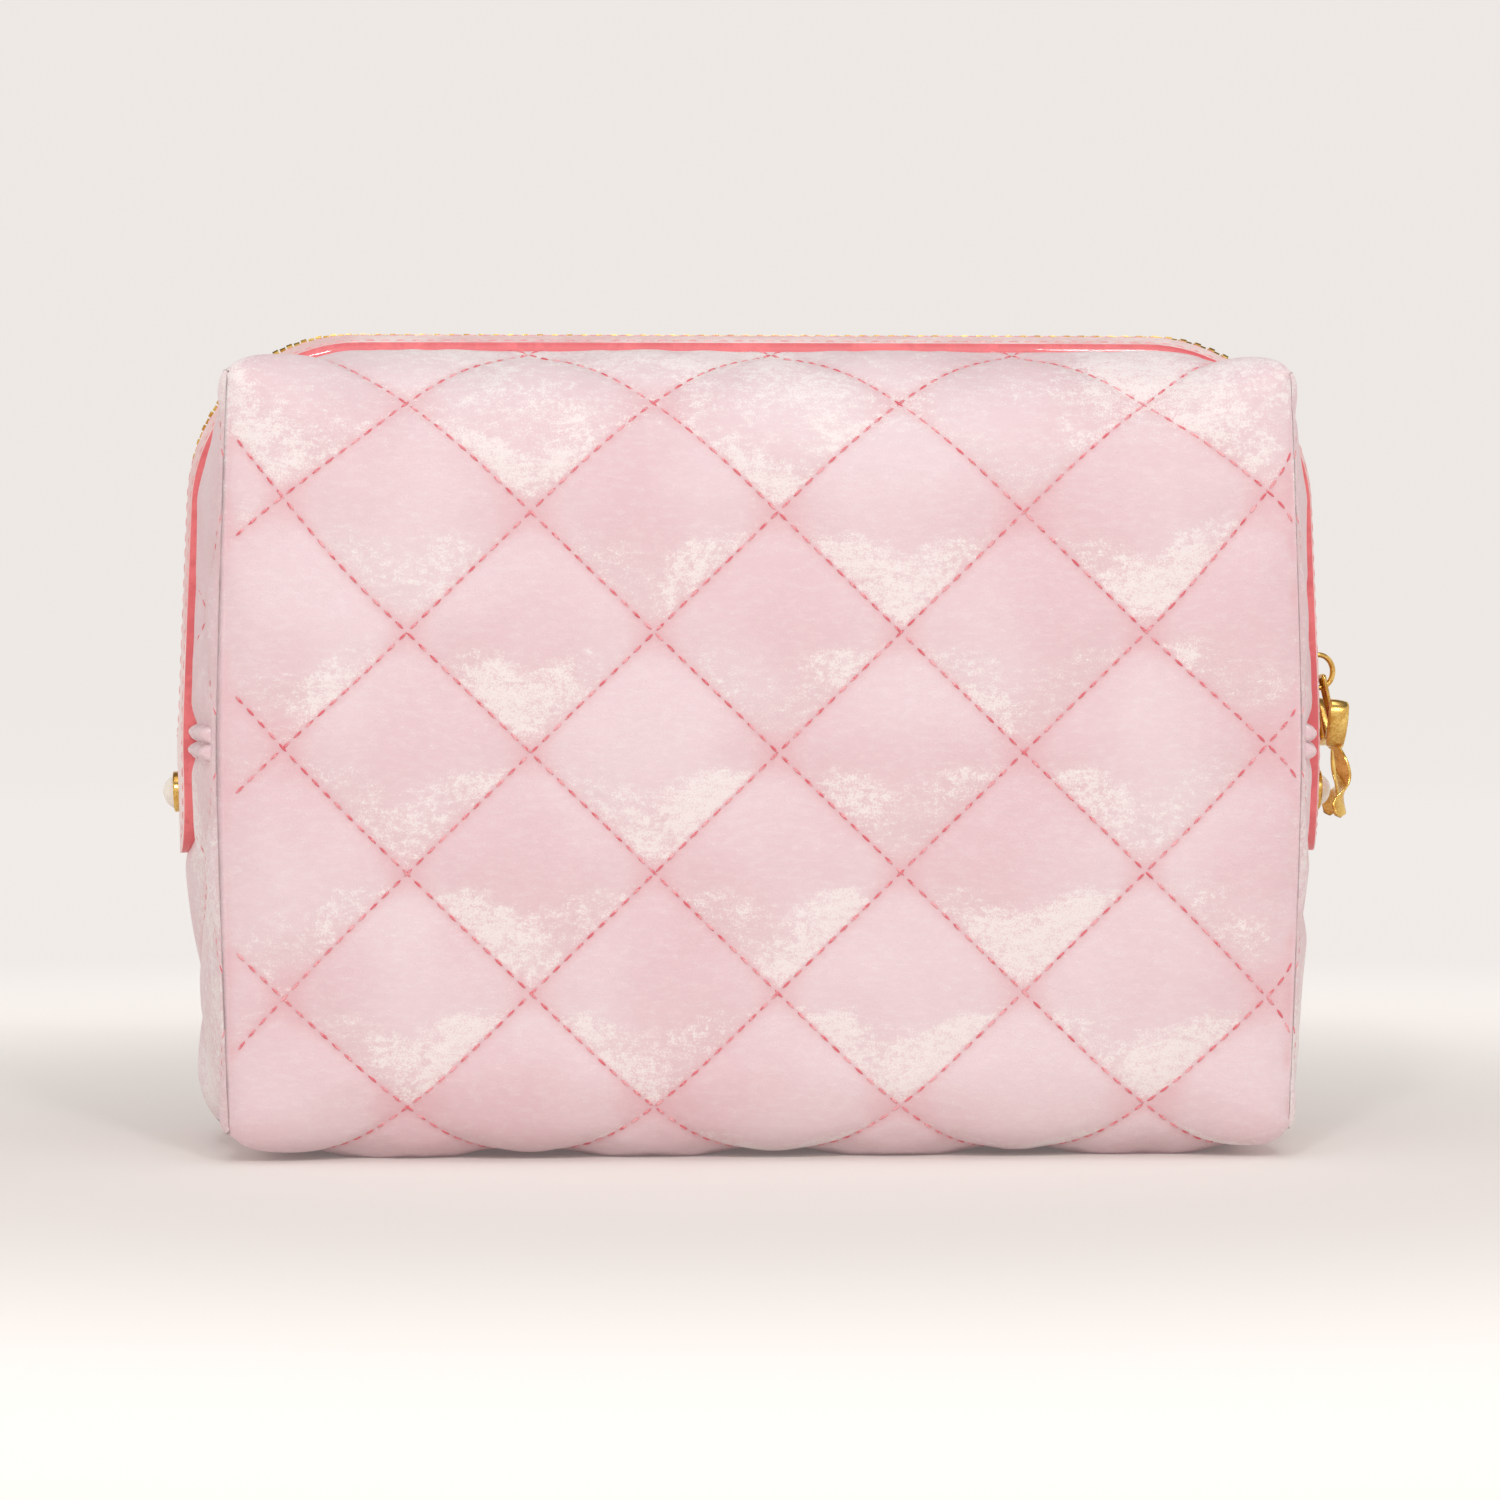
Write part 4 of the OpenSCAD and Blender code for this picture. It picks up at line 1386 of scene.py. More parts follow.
@dataclass
class SideWelt:
    """The raised double fold where the gusset meets the lower side panel."""

    form: BagForm
    finishes: Finishes
    centre_z: float = 86.0
    width: float = 7.4
    rise: float = 1.5
    inner_y: float = 15.0
    outer_y: float = 43.4
    fold_low: float = CLOTH_FOLD_LOW
    fold_high: float = CLOTH_FOLD_HIGH

    def build(self) -> None:
        """Builds a welt at each end of each half.

        Rows run across the bag's depth. Columns run up the fold: two round humps with a crease
        between them, sunk below the velvet at both edges, closed behind.
        """
        rows, columns = 30, 22
        y = np.linspace(-self.outer_y, -self.inner_y, rows)
        t = np.linspace(-1.0, 1.0, columns)
        hump = np.abs(np.sin(np.pi * t)) ** 0.6
        level = -2.6 + (self.rise + 1.6) * np.where(np.abs(t) > 0.97, 0.0, hump)
        for half in Half:
            groups = []
            for end in (-1.0, 1.0):
                ripple = 0.25 * np.sin(y * 0.9 + end) + 0.2 * np.sin(y * 0.37)
                z = self.centre_z + t[None, :] * self.width / 2.0 + ripple[:, None]
                yy = np.repeat(y[:, None], columns, 1)
                x = np.full_like(yy, self.form.half_w - self.form.seam_in * 0.6)
                face = np.stack([x * end, yy, z], axis=-1).reshape(-1, 3)
                wobble = 0.12 * np.sin(yy * 1.7 + z).reshape(-1)
                ends = smoothstep(y, -self.outer_y, -self.outer_y + 3.0)[:, None] * np.ones(columns)
                lift = (-2.8 + (level[None, :] + 2.8) * ends).reshape(-1)
                outer = self.form.settle(face, lift + wobble).reshape(rows, columns, 3)
                inner = self.form.settle(face, -3.4).reshape(rows, columns, 3)
                rings = np.concatenate([outer, inner[:, ::-1]], axis=1)
                groups.append(tube(rings * [1.0, -half.value, 1.0], flip=(end * half.value < 0.0)))
            points, faces = joined(groups)
            piece = new_mesh(f"side_welts_{half.word}", points, faces, [self.finishes.velvet])
            # Paints an even sheen on the welts, and no crease shade.
            write_layer(piece.data, "painted_sheen", np.full(len(points), 0.75))
            write_layer(piece.data, "crease_shade", np.zeros(len(points)))
            fold_at_sides(piece, half, self.fold_low, self.fold_high)
            LOG.info("%s: %d faces", piece.name, len(faces))


@dataclass
class ZipPath:
    """The line that the zip follows at Y = 0, from one tab over the top to the other."""

    form: BagForm
    low_z: float = 62.0

    def outline(self, count: int = 1400) -> np.ndarray:
        """Rows of X and Z along the path, left end first."""
        angle = np.linspace(-2.2, 2.2, count)
        ray = np.stack([np.sin(angle), np.zeros(count), np.cos(angle)], axis=1)
        line = self.form.cast(ray, 2.0 * self.form.half_w)[:, [0, 2]]
        return line[line[:, 1] > self.low_z - 2.0]

    def stations(self, fine: list[float], step: float) -> np.ndarray:
        """Places along the path: given heights on both sides, and equal steps between them.

        Args:
            fine: Heights, rising, that get a row of their own at each side.
            step: Distance between rows above the last of them.

        Returns:
            Rows of X and Z, left end first.
        """
        line = self.outline()
        gaps = np.linalg.norm(np.diff(line, axis=0), axis=1)
        length = np.concatenate([[0.0], np.cumsum(gaps)])
        half = len(line) // 2
        at = np.interp(fine, line[:half, 1], length[:half])
        count = int((length[-1] - 2.0 * at[-1]) / step)
        between = np.linspace(at[-1], length[-1] - at[-1], count + 1)[1:-1]
        every = np.concatenate([at, between, length[-1] - at[::-1]])
        return np.stack([np.interp(every, length, line[:, k]) for k in (0, 1)], axis=1)

    def lay(self, stations: np.ndarray, y: np.ndarray, out: np.ndarray | float) -> np.ndarray:
        """Points beside the path at distances Y from it, raised by a height above the form.

        Args:
            stations: Rows of X and Z.
            y: Y of every point, by station and column.
            out: Height above the form of every point.

        Returns:
            Points by station and column.
        """
        rows, columns = y.shape
        p = np.stack([np.repeat(stations[:, :1], columns, 1), y,
                      np.repeat(stations[:, 1:], columns, 1)], axis=-1).reshape(-1, 3)
        level = np.broadcast_to(out, y.shape).reshape(-1)
        settled = self.form.settle(p, level, rounds=8)
        settled[:, 1] = p[:, 1]
        return settled.reshape(rows, columns, 3)


@dataclass
class Trim:
    """The pale trim round the zip, with painted edges, topstitching and a round tab at each end."""

    path: ZipPath
    finishes: Finishes
    window: float = 6.0
    reach: float = 16.0
    tab_z: float = 78.0
    window_z: float = 94.0
    thick: float = 1.55
    crown: float = 0.25
    round_off: float = 0.12
    edge_drop: float = 0.5
    foot: float = -1.7
    row_step: float = 2.6
    stitch_inset: float = 1.6
    stitch_step: float = 3.2
    stitch_length: float = 2.4
    fold_low: float = 87.6
    fold_high: float = 95.0

    def outer(self, z: np.ndarray, inset: float = 0.0) -> np.ndarray:
        """Half width of the trim at a height: a half circle below the tab's centre."""
        r = self.reach - inset
        return np.sqrt(np.maximum(r**2 - np.maximum(self.tab_z - z, 0.0) ** 2, 0.0))

    def inner(self, z: np.ndarray, inset: float = 0.0) -> np.ndarray:
        """Half width of the window at a height: a half circle below the window's centre."""
        r = self.window + inset
        return np.sqrt(np.maximum(r**2 - np.maximum(self.window_z - z, 0.0) ** 2, 0.0))

    def heights(self, inset: float = 0.0) -> list[float]:
        """Heights of the rows of a tab, close together where its outline curves."""
        r, w = self.reach - inset, self.window + inset
        turn = np.linspace(0.0, np.pi / 2.0, 13)
        tab = self.tab_z - r * np.cos(turn)
        bend = np.linspace(0.0, np.pi / 2.0, 9)
        end = self.window_z - w * np.cos(bend)
        flat = np.linspace(self.tab_z, end[0], 7)[1:-1]
        return np.concatenate([tab, flat, end]).tolist()

    def build(self) -> None:
        """Builds the trim's two halves and their topstitching.

        A row's section is a wall up from inside the bag, a rounded edge, a crowned face, and the
        same down again outside. The walls and the outer rounds are painted. Where the window is
        closed, the inner wall is left out and nothing beside it is painted.
        """
        rows = self.path.stations(self.heights(), self.row_step)
        inside, outside = self.inner(rows[:, 1]), self.outer(rows[:, 1])
        share = np.array([0.0, 0.0, 0.035, 0.1, 0.3, 0.5, 0.7, 0.9, 0.965, 1.0, 1.0])
        face, brow, rim = self.thick, self.thick - self.round_off, self.thick - self.edge_drop
        slope, ridge = self.thick + 0.6 * self.crown, self.thick + self.crown
        out = np.array([self.foot, rim, brow, face, slope, ridge, slope, face, brow, rim, self.foot])
        y = -(inside[:, None] + (outside - inside)[:, None] * share[None, :])
        level = np.repeat(out[None, :], len(rows), 0)
        closed = inside < 0.01
        level[closed, :3] = self.thick + 0.3 * self.crown
        points = self.path.lay(rows, y, level)
        last = len(share) - 1
        quads = grid_faces(len(rows), len(share), flip=True)
        column = np.tile(np.arange(last), len(rows) - 1)
        row = np.repeat(np.arange(len(rows) - 1), last)
        shut = closed[row] & closed[row + 1]
        painted = np.isin(column, (0, 1, last - 2, last - 1)) & ~(shut & (column < 3))
        kept = ~(shut & (column == 0))
        flat, faces, _ = weld(points.reshape(-1, 3), quads[kept].tolist(), 0.01)
        both, all_faces = mirrored(flat, faces)
        whole = new_mesh("trim_whole", both, all_faces,
                         [self.finishes.leatherette, self.finishes.edge_paint],
                         np.tile(painted[kept].astype(int), 2))
        pieces = split_halves(whole, "zip_trim")
        for half, piece in pieces.items():
            fold_at_sides(piece, half, self.fold_low, self.fold_high)
            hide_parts(f"trim_{half.word}")
            LOG.info("%s: %d faces", piece.name, len(piece.data.polygons))
        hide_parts("trim_tab_left", "trim_tab_right")
        self._topstitch()

    def _topstitch(self) -> None:
        """Sews a line of stitches just inside each edge of the trim."""
        inset = self.stitch_inset
        lines = []
        for lowest, width in ((self.tab_z - (self.reach - inset), self.outer),
                              (self.window_z - (self.window + inset), self.inner)):
            heights = [z for z in self.heights(inset) if z >= lowest]
            rows = self.path.stations(heights, 2.0)
            y = -width(rows[:, 1], inset)[:, None]
            lines.append(self.path.lay(rows, y, self.thick - 0.02)[:, 0])
        for half in Half:
            parts = []
            for line in lines:
                cuts = resample(line, self.stitch_step)
                slack = 0.5 * (1.0 - self.stitch_length / self.stitch_step) * (cuts[1:] - cuts[:-1])
                turn = np.array([1.0, -half.value, 1.0])
                parts.append(capsules((cuts[:-1] + slack) * turn, (cuts[1:] - slack) * turn, 0.26, 5))
            points, faces = joined(parts)
            if half is Half.BACK:
                faces = [face[::-1] for face in faces]
            piece = new_mesh(f"topstitching_{half.word}", points, faces, [self.finishes.topstitch])
            fold_at_sides(piece, half, self.fold_low, self.fold_high)
            LOG.info("%s: %d faces", piece.name, len(faces))


@dataclass
class ZipTape:
    """The woven tape of each half, with a corded edge beside the teeth."""

    path: ZipPath
    finishes: Finishes
    gap: float = 0.65
    reach: float = 14.0
    low_z: float = 88.3
    fold_low: float = 87.0
    fold_high: float = 93.0

    def build(self) -> None:
        """Builds the tapes: a thin ribbon whose inner edge swells into a cord."""
        rows = self.path.stations([self.low_z, self.low_z + 2.0], 2.4)
        y_top = np.array([self.reach, 9.0, 6.0, 3.4, 2.7, 1.9, 1.1, self.gap])
        top = np.array([-0.1, -0.15, -0.2, -0.3, 0.0, 0.15, 0.0, -0.35])
        under = np.array([-0.65, -1.0, -1.15, -1.0, -0.7, -0.85, -0.85, -0.8])
        y = -np.concatenate([y_top, y_top[::-1]])
        level = np.concatenate([top, under])
        place = np.repeat(y[None, :], len(rows), 0)
        rings = self.path.lay(rows, place, level[None, :])
        for half in Half:
            points, faces = tube(rings * [1.0, -half.value, 1.0], flip=half is Half.BACK)
            piece = new_mesh(f"zip_tape_{half.word}", points, faces, [self.finishes.tape])
            fold_at_sides(piece, half, self.fold_low, self.fold_high)
            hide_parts(f"tape_{half.word}")
            LOG.info("%s: %d faces", piece.name, len(faces))


@dataclass(frozen=True)
class SideFrame:
    """Axes on the right-hand wall: outward, along Y, and up the wall."""

    origin: tuple[float, float, float]
    lean: float

    def place(self, local: np.ndarray) -> np.ndarray:
        """Turns local points, given as outward, Y and up, into the frame of the bag."""
        c, s = np.cos(self.lean), np.sin(self.lean)
        x = self.origin[0] + local[..., 0] * c - local[..., 2] * s
        z = self.origin[2] + local[..., 0] * s + local[..., 2] * c
        return np.stack([x, self.origin[1] + local[..., 1], z], axis=-1)


def revolve(profile: list[tuple[float, float]], sides: int) -> np.ndarray:
    """Rings of a turned shape whose axis is the first axis.

    Args:
        profile: Distance along the axis and radius, in order.
        sides: Points in each ring.

    Returns:
        Points by ring and side.
    """
    along, radius = np.asarray(profile, dtype=float).T
    turn = np.arange(sides) * 2.0 * np.pi / sides
    rings = np.zeros((len(along), sides, 3))
    rings[..., 0] = along[:, None]
    rings[..., 1] = radius[:, None] * np.cos(turn)
    rings[..., 2] = radius[:, None] * np.sin(turn)
    return rings


def tube(rings: np.ndarray, loop: bool = False, flip: bool = False) -> tuple[np.ndarray, list]:
    """A surface through rings of points, closed at both ends by fans unless it is a loop.

    Args:
        rings: Points by ring and column.
        loop: True to join the last ring to the first.
        flip: True to turn the faces over.

    Returns:
        Points and faces.
    """
    rows, columns = rings.shape[:2]
    points = rings.reshape(-1, 3)
    faces = grid_faces(rows, columns, 0, loop, True, flip).tolist()
    if not loop:
        i = np.arange(columns)
        j = (i + 1) % columns
        first = np.stack([np.full(columns, rows * columns), j, i], axis=1)
        top = (rows - 1) * columns
        last = np.stack([np.full(columns, rows * columns + 1), top + i, top + j], axis=1)
        caps = np.concatenate([first, last])
        faces += (caps[:, ::-1] if flip else caps).tolist()
        middles = [rings[end].mean(0, keepdims=True) for end in (0, -1)]
        points = np.concatenate([points, *middles])
    return points, faces


def joined(parts: list[tuple[np.ndarray, list]]) -> tuple[np.ndarray, list]:
    """Puts several sets of points and faces into one."""
    start, faces = 0, []
    for points, own in parts:
        faces += [[v + start for v in face] for face in own]
        start += len(points)
    return np.concatenate([points for points, _ in parts]), faces


def band(centre: np.ndarray, across: np.ndarray, outward: np.ndarray, width: np.ndarray,
         thick: np.ndarray, sides: int = 16, square: float = 0.6) -> np.ndarray:
    """Rings of a ribbon with rounded edges, carried along a line.

    Each ring is a superellipse: powers of the cosine and sine stretch to half the width along
    one axis and half the thickness along the other.

    Args:
        centre: Points of the line.
        across: Direction of the width at each point.
        outward: Direction of the thickness at each point.
        width: Width at each point.
        thick: Thickness at each point.
        sides: Points in each ring.
        square: Power, from 1 for an ellipse towards 0 for a rectangle.

    Returns:
        Points by ring and side.
    """
    turn = np.arange(sides) * 2.0 * np.pi / sides
    c, s = np.cos(turn), np.sin(turn)
    a = np.sign(c) * np.abs(c) ** square / 2.0
    b = np.sign(s) * np.abs(s) ** square / 2.0
    wide = across[:, None] * (a[None, :] * width[:, None])[..., None]
    high = outward[:, None] * (b[None, :] * thick[:, None])[..., None]
    return centre[:, None] + wide + high


@dataclass
class PearlStuds:
    """A pearl in a turned metal cup on the tab at each end."""

    finishes: Finishes
    lean: float = WALL_LEAN
    cup_r: float = 4.3
    cup_wall: float = 0.5
    cup_low: float = -0.1
    cup_high: float = 1.7
    pearl_r: float = 3.78
    pearl_top: float = 4.0

    def build(self) -> None:
        """Builds a cup and a pearl at each end, from turned profiles."""
        low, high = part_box("stud_cup_right")
        centre_z = (low.z + high.z) / 2.0 / MM
        frame_x = low.x / MM
        for word, end in (("right", 1.0), ("left", -1.0)):
            axes = SideFrame((frame_x, 0.0, centre_z), -self.lean)
            r, t = self.cup_r, self.cup_wall
            foot, rim = self.cup_low, self.cup_high
            cup = [(foot, 0.0), (foot, r * 0.6), (foot, r - 0.35), (foot + 0.2, r - 0.08), (0.35, r),
                   (0.8, r - 0.03), (1.35, r), (rim - 0.12, r - 0.04), (rim, r - 0.2),
                   (rim - 0.05, r - t + 0.08), (rim - 0.3, r - t), (0.6, r - t), (0.5, r * 0.5),
                   (0.5, 0.0)]
            lift = self.pearl_top - self.pearl_r
            turn = np.linspace(-0.2 * np.pi, 0.5 * np.pi, 18)
            pearl = [(0.55, 0.0), (0.55, self.pearl_r * 0.55)]
            ball = np.stack([lift + self.pearl_r * np.sin(turn), self.pearl_r * np.cos(turn)], axis=1)
            pearl += ball[ball[:, 0] > 0.7].tolist()
            for name, profile, mat, slot in ((f"stud_cup_{word}", cup, self.finishes.gold, "gold"),
                                             (f"pearl_{word}", pearl, self.finishes.pearl, "pearl")):
                place = axes.place(revolve(profile, 56)) * [end, 1.0, 1.0]
                points, faces = tube(place, flip=end > 0.0)
                points, faces, _ = weld(points, faces, 0.005)
                piece = new_mesh(f"turned_{name}", points, faces, [mat])
                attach(piece, SHELL)
                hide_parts(name)
                LOG.info("%s: %d faces", piece.name, len(faces))


@dataclass
class ZipSlider:
    """The slider: two crowned plates and the arched crown that carries the bow."""

    finishes: Finishes
    lean: float = WALL_LEAN
    length: float = 11.4
    half: float = 4.95
    plate: float = 1.15
    arch_long: float = 8.2
    arch_high: float = 3.7
    arch_wide: float = 2.3
    arch_thick: float = 1.15

    def plate_rings(self, low: float, high: float) -> np.ndarray:
        """A shield-shaped plate as rings from its lower middle to its crowned upper middle.

        The outline's half width swells towards the top end. Rings shrink towards the middle on
        both faces, and the upper face rises in a cosine crown.
        """
        turn = np.arange(48) * 2.0 * np.pi / 48
        c, s = np.cos(turn), np.sin(turn)
        up = np.sign(s) * np.abs(s) ** 0.75 * self.length / 2.0
        wide = np.sign(c) * np.abs(c) ** 0.62 * self.half * (0.86 + 0.14 * s)
        size = np.array([0.0, 0.5, 0.86, 0.96, 1.0, 1.0, 0.965, 0.88, 0.7, 0.45, 0.2, 0.0])
        rise = np.array([0.0, 0.0, 0.0, 0.08, 0.28, 0.6, 0.82, 0.95, 1.06, 1.16, 1.2, 1.2])
        rings = np.zeros((len(size), 48, 3))
        rings[..., 0] = low + (high - low) * rise[:, None]
        rings[..., 1] = size[:, None] * wide
        rings[..., 2] = size[:, None] * up
        return rings

    def build(self) -> None:
        """Builds the slider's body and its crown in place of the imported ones."""
        low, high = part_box("slider_body")
        middle = (low.z + high.z) / 2.0 / MM
        axes = SideFrame((high.x / MM - 2.3, 0.0, middle + 0.1), self.lean)
        outer = tube(axes.place(self.plate_rings(2.3 - self.plate, 1.65)), flip=True)
        inner = tube(axes.place(self.plate_rings(-3.9, -3.2) * [1.0, 0.9, 0.9]), flip=True)
        web = np.linspace(-3.3, 1.3, 5)
        centre = np.stack([web, np.zeros(5), np.full(5, 3.2)], axis=1)
        upward, sideways = np.tile([0.0, 0.0, 1.0], (5, 1)), np.tile([0.0, 1.0, 0.0], (5, 1))
        post = axes.place(band(centre, upward, sideways, np.full(5, 3.4), np.full(5, 1.0)))
        points, faces = joined([outer, inner, tube(post)])
        body = new_mesh("slider_plates", points, faces, [self.finishes.gold])
        turn = np.linspace(-0.1 * np.pi, 1.1 * np.pi, 30)
        line = np.stack([2.1 + (self.arch_high - self.arch_thick / 2.0) * np.sin(turn), np.zeros(30),
                         (self.arch_long - self.arch_thick) / 2.0 * np.cos(turn)], axis=1)
        along = unit(np.gradient(line, axis=0))
        side = np.tile([0.0, 1.0, 0.0], (30, 1))
        out = np.cross(along, side)
        rings = band(line, side, out, np.full(30, self.arch_wide) * (1.0 - 0.18 * np.sin(turn) ** 2),
                     np.full(30, self.arch_thick), 14, 0.7)
        points, faces = tube(axes.place(rings), flip=True)
        crown = new_mesh("slider_arch", points, faces, [self.finishes.gold])
        for piece, node in ((body, "slider_body"), (crown, "slider_crown")):
            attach(piece, SLIDER_BODY)
            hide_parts(node)
            LOG.info("%s: %d faces", piece.name, len(piece.data.polygons))


@dataclass
class BowPuller:
    """A cast ribbon bow that hangs from the slider's arch."""

    finishes: Finishes
    loop_reach: float = 12.2
    loop_high: float = 11.5
    ribbon: float = 4.2
    thick: float = 1.0
    tail_long: float = 14.5
    knot: float = 5.2

    def build(self) -> None:
        """Builds the eye, the two loops, the two tails and the knot as one piece."""
        low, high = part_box("bow_puller")
        joint = next(j for j in frame["joints"] if j["name"] == "puller_swing")
        pivot = np.array(joint["pos_m"]) / MM
        face_x = (low.x + high.x) / 2.0 / MM + 0.1
        knot_z = (low.z / MM) + 17.5
        parts = [self._eye(pivot, face_x, knot_z + self.knot / 2.0 - 0.8)]
        for side in (-1.0, 1.0):
            parts += [self._loop(side, face_x, knot_z), self._tail(side, face_x, knot_z, low.z / MM)]
        parts.append(self._knot(face_x, knot_z))
        points, faces = joined(parts)
        piece = new_mesh("ribbon_bow", points, faces, [self.finishes.gold])
        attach(piece, PULLER_BODY)
        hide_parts("bow_puller")
        LOG.info("%s: %d faces", piece.name, len(faces))

    def _eye(self, pivot: np.ndarray, face_x: float, low_z: float) -> tuple[np.ndarray, list]:
        """A rounded wire through the arch, with both legs running down into the knot."""
        turn = np.linspace(0.0, np.pi, 15)
        top = np.stack([np.full(15, pivot[0]), 2.1 * np.cos(turn),
                        pivot[2] + 0.55 * np.sin(turn) ** 0.5], axis=1)
        leg = np.linspace(0.0, 1.0, 10)[1:, None]
        right = top[0] * (1.0 - leg) + np.array([face_x, 1.3, low_z]) * leg
        left = top[-1] * (1.0 - leg) + np.array([face_x, -1.3, low_z]) * leg
        line = np.concatenate([right[::-1], top, left])
        along = unit(np.gradient(line, axis=0))
        out = np.cross(along, np.tile([0.15, 0.0, 1.0], (len(line), 1)))
        spare = np.linalg.norm(out, axis=1, keepdims=True) < 0.3
        out = square_to(np.where(spare, [[1.0, 0.0, 0.0]], out), along)
        side = np.cross(along, out)
        size = np.full(len(line), 1.15)
        return tube(band(line, side, out, size, size, 10, 1.0))

    def _loop(self, side: float, face_x: float, knot_z: float) -> tuple[np.ndarray, list]:
        """One loop of ribbon: a drop-shaped closed line, broad at its far end.

        The line is a circle squeezed to a point at the knot. The ribbon's width runs out from
        the wall and turns a little on the way round, as folded ribbon does.
        """
        count = 44
        t = np.linspace(0.0, 2.0 * np.pi, count, endpoint=False)
        reach = (1.0 - np.cos(t)) / 2.0
        y = 1.2 + (self.loop_reach - 1.2) * reach**0.85
        z = np.sin(t) * reach**0.62 * self.loop_high / 2.0
        z = z + 4.6 * reach
        x = 0.55 * np.sin(t) * reach - 0.5 - 0.4 * reach
        line = np.stack([face_x + x, y * side, knot_z + z], axis=1)
        along = unit(np.roll(line, -1, axis=0) - np.roll(line, 1, axis=0))
        across = np.stack([np.ones(count), 0.22 * np.sin(t) * side, 0.28 * np.cos(t)], axis=1)
        across = square_to(across, along)
        out = np.cross(along, across)
        width = self.ribbon * (0.62 + 0.42 * reach)
        rings = band(line, across, out, width, np.full(count, self.thick), 14, 0.7)
        return tube(rings, loop=True, flip=side < 0.0)

    def _tail(self, side: float, face_x: float, knot_z: float, low_z: float) -> tuple[np.ndarray, list]:
        """One tail: a ribbon that swings out from the wall, twists and ends in a slant."""
        count = 34
        t = np.linspace(0.0, 1.0, count)
        z = knot_z - 1.0 + (low_z + 1.0 - knot_z + 1.0) * t
        y = 1.0 + 5.6 * t**0.8 + 0.9 * np.sin(2.2 * np.pi * t)
        x = 1.7 * np.sin(np.pi * t) ** 1.3 - 0.1 * t
        line = np.stack([face_x + x, y * side, z], axis=1)
        along = unit(np.gradient(line, axis=0))
        twist = 0.9 * np.sin(np.pi * t * 1.5) * side
        across = np.stack([np.sin(twist), np.cos(twist), 0.1 * np.ones(count)], axis=1)
        across = square_to(across, along)
        out = np.cross(along, across)
        width = 1.9 + 2.6 * np.sin(np.pi * np.clip(t * 0.62, 0.0, 1.0)) - 2.4 * smoothstep(t, 0.9, 1.0)
        return tube(band(line, across, out, width, np.full(count, self.thick * 0.95), 14, 0.7))

    def _knot(self, face_x: float, knot_z: float) -> tuple[np.ndarray, list]:
        """The knot: a pinched, slightly turned pad, built as rings along Z."""
        count = 22
        turn = np.linspace(0.0, np.pi, count)
        z = -np.cos(turn) * self.knot / 2.0
        line = np.stack([np.full(count, face_x + 0.35), 0.18 * z, knot_z + z], axis=1)
        size = np.sin(turn) ** 0.45 + 1e-3
        across = np.tile([0.0, 1.0, 0.0], (count, 1))
        out = np.tile([1.0, 0.0, 0.0], (count, 1))
        crease = 1.0 - 0.1 * np.cos(turn * 6.0)
        return tube(band(line, across, out, 4.4 * size * crease, 4.0 * size, 20, 0.8), flip=True)


class CarriedParts:
    """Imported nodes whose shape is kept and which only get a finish."""

    def __init__(self, finishes: Finishes) -> None:
        """Keeps the finishes."""
        self.finishes = finishes

    def build(self) -> None:
        """Gives the teeth, the stops and the rivets their metal."""
        kinds = ("teeth", "slider_teeth", "zip_stops")
        names = [f"{kind}_{half.word}" for kind in kinds for half in Half]
        names += ["stud_rivet_left", "stud_rivet_right"]
        for name in names:
            obj = bpy.data.objects[name]
            for slot in obj.material_slots:
                slot.material = self.finishes.gold
            LOG.info("%s: keeps its packed shape", name)


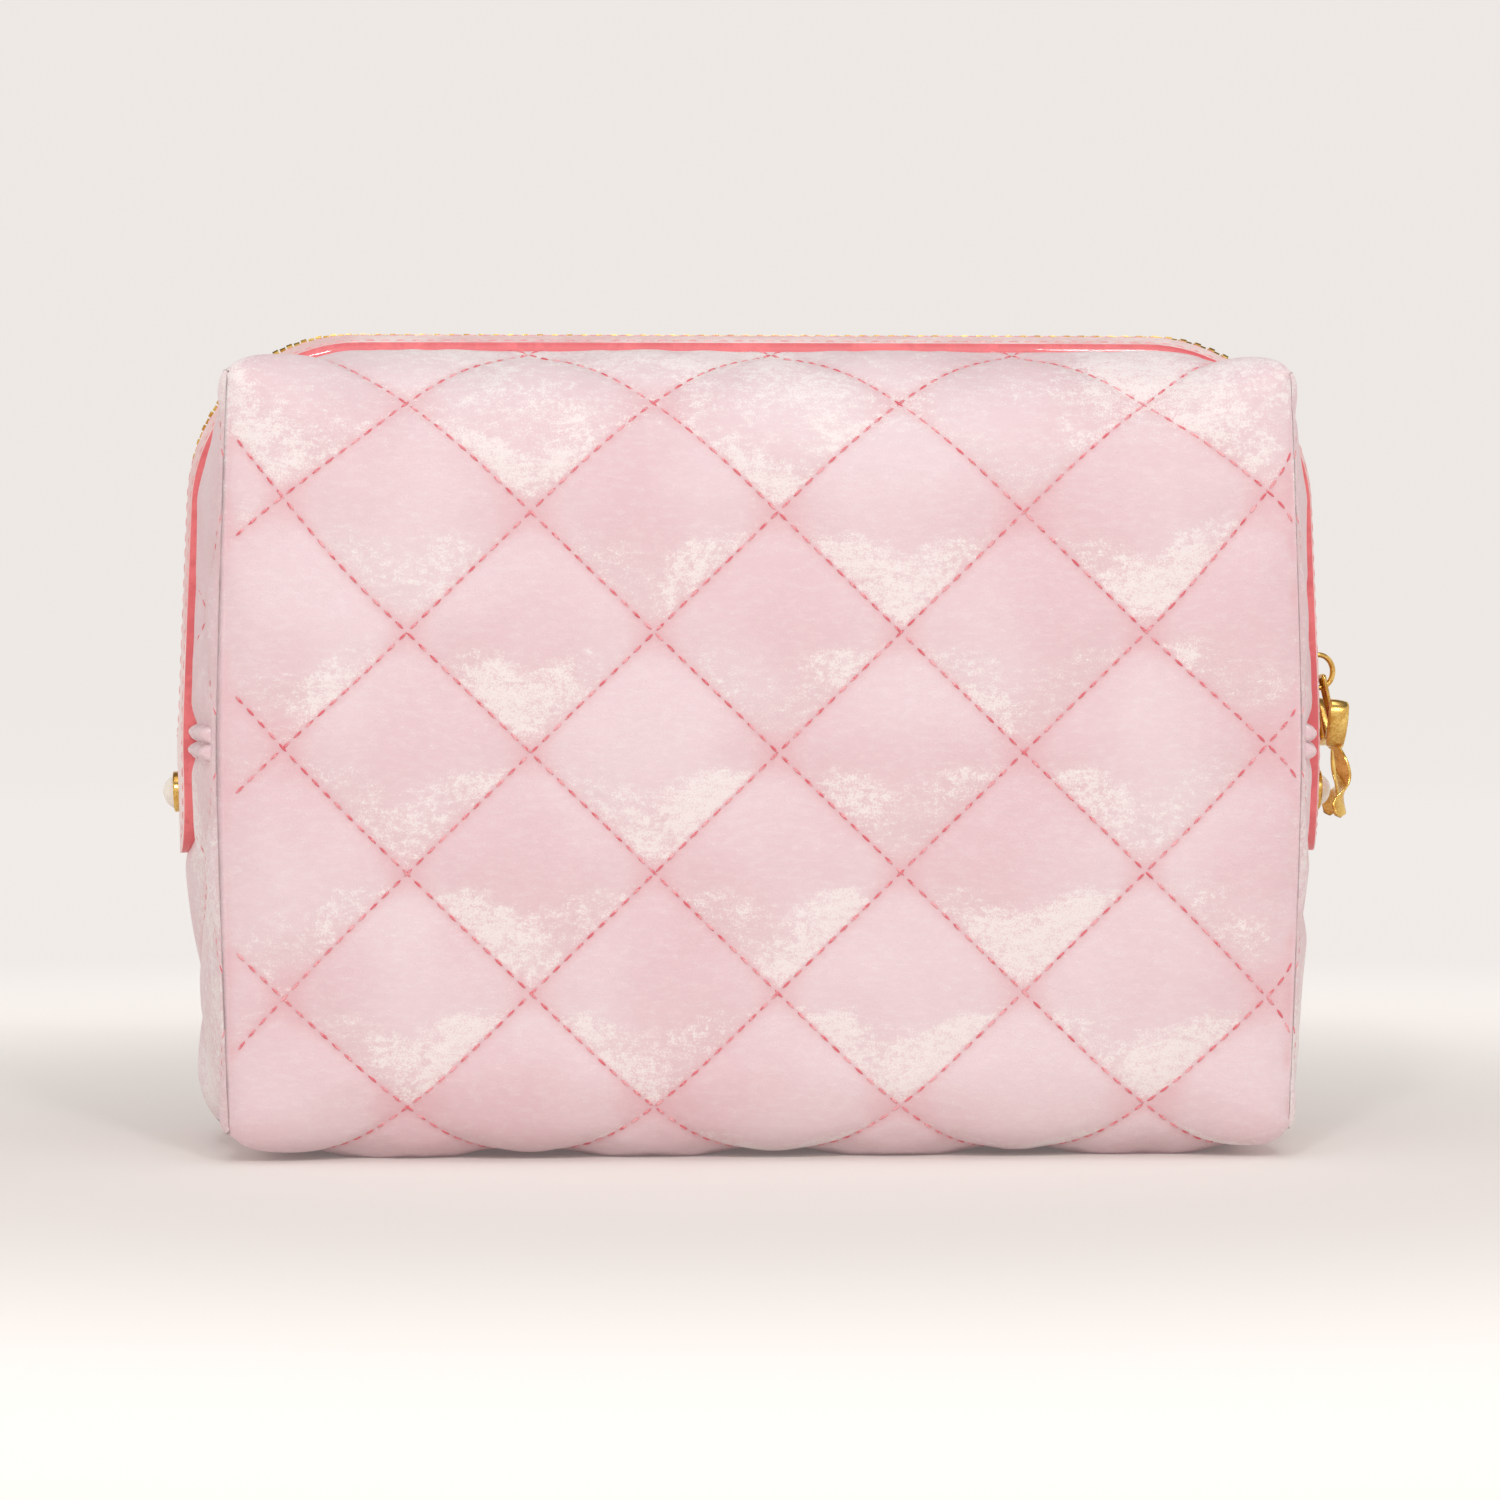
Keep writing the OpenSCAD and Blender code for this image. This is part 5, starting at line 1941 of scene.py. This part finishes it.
class Studio:
    """Camera, soft lights and a pale floor."""

    def __init__(self) -> None:
        """Sets the distances, angles and strengths."""
        self.centre = (0.0, 0.0, 0.0835)
        self.distance = 1.2
        self.azimuth = -3.2
        self.elevation = 1.4
        self.frame_width = 0.3186

    def camera(self) -> None:
        """Makes the camera and gives it to the scene."""
        data = bpy.data.cameras.new("camera")
        data.sensor_width = 36.0
        data.lens = 36.0 * self.distance / self.frame_width
        data.clip_start = 0.05
        obj = bpy.data.objects.new("camera", data)
        bpy.context.collection.objects.link(obj)
        turn, lift = np.radians(self.azimuth), np.radians(self.elevation)
        away = Vector((np.sin(turn) * np.cos(lift), -np.cos(turn) * np.cos(lift), np.sin(lift)))
        obj.location = Vector(self.centre) + away * self.distance
        obj.rotation_euler = (-away).to_track_quat("-Z", "Y").to_euler()
        bpy.context.scene.camera = obj

    def floor(self) -> None:
        """Makes a round floor that sweeps up into a wall all round.

        The profile is flat, then a quarter circle, then upright, turned about Z. Away from the
        bag the paper glows with its own colour, so that it looks even from every side.
        """
        bend = np.linspace(0.0, np.pi / 2.0, 14)
        r = np.concatenate([[150.0, 600.0, 1200.0, 1800.0], 2200.0 + 700.0 * np.sin(bend), [2900.0]])
        z = np.concatenate([np.zeros(4), 700.0 - 700.0 * np.cos(bend), [2600.0]])
        turn = np.arange(96) * 2.0 * np.pi / 96
        points = np.stack([r[:, None] * np.cos(turn), r[:, None] * np.sin(turn),
                           np.repeat(z[:, None], 96, 1)], axis=-1).reshape(-1, 3)
        points = np.concatenate([points, [[0.0, 0.0, 0.0]]])
        faces = grid_faces(len(r), 96, close_columns=True, flip=True).tolist()
        faces += [[len(points) - 1, i, (i + 1) % 96] for i in range(96)]
        mat, tree, shader, coords = start_material("backdrop_paper")
        cloud = tree.noise(coords.outputs["Object"], 2.5, 1.0, 0.5)
        paper = tree.mix(cloud, linear("eee9e5"), linear("ece7e3"))
        away = tree.add("VectorMath", {0: coords.outputs["Object"]}, operation="LENGTH")
        glow = tree.ramp(away.outputs["Value"], 0.15, 0.7)
        dark = tree.mix(glow, linear("eee9e5"), (0.0, 0.0, 0.0, 1.0))
        tree.link(tree.mix(glow, paper, dark), shader.inputs["Base Color"])
        tree.link(tree.mix(glow, (0.07, 0.068, 0.066, 1.0), linear("ede8e4")),
                            shader.inputs["Emission Color"])
        shader.inputs["Emission Strength"].default_value = 1.0
        shader.inputs["Roughness"].default_value = 0.9
        shader.inputs["Specular IOR Level"].default_value = 0.1
        floor = new_mesh("backdrop", points, faces, [mat])

    def light(self, name: str, place: tuple[float, float, float], size: float, power: float,
              target: tuple[float, float, float] = (0.0, 0.0, 0.08)) -> None:
        """Adds a square area light that faces a target.

        Args:
            name: The light's name.
            place: Where it hangs, in metres.
            size: Its side, in metres.
            power: Its power in watts.
            target: The point that it faces.
        """
        data = bpy.data.lights.new(name, "AREA")
        data.shape = "SQUARE"
        data.size = size
        data.energy = power
        obj = bpy.data.objects.new(name, data)
        bpy.context.collection.objects.link(obj)
        obj.location = place
        obj.rotation_euler = (Vector(target) - Vector(place)).to_track_quat("-Z", "Y").to_euler()

    def lights(self) -> None:
        """Hangs the lights and sets a soft surround."""
        self.light("key_light_left", (-0.3, -1.45, 0.95), 0.12, 4.25)
        self.light("key_light_right", (0.3, -1.45, 0.95), 0.12, 4.25)
        self.light("top_light", (0.0, -0.3, 1.3), 0.8, 3.9)
        world = bpy.data.worlds.new("surround")
        world.use_nodes = True
        world.node_tree.nodes["Background"].inputs["Color"].default_value = (1.0, 0.99, 0.985, 1.0)
        world.node_tree.nodes["Background"].inputs["Strength"].default_value = 0.2
        bpy.context.scene.world = world


def main() -> None:
    """Builds the studio and every piece of the bag."""
    logging.basicConfig(level=logging.INFO, format="%(name)s: %(message)s")
    np.random.seed(SEED)
    studio = Studio()
    studio.camera()
    bpy.context.scene.view_settings.view_transform = "Standard"
    finishes = Finishes()
    form = BagForm.from_frame()
    quilt = Quilting()
    LOG.info("form: half width %.1f, height %.1f, half depth %.1f",
             form.half_w, form.height, form.half_d)
    path = ZipPath(form)
    for part in (QuiltedShell(form, quilt, finishes), Lining(form, finishes),
                 SideWelt(form, finishes), Trim(path, finishes), ZipTape(path, finishes),
                 PearlStuds(finishes), ZipSlider(finishes), BowPuller(finishes),
                 CarriedParts(finishes)):
        part.build()
    studio.floor()
    studio.lights()


if __name__ == "__main__":
    main()
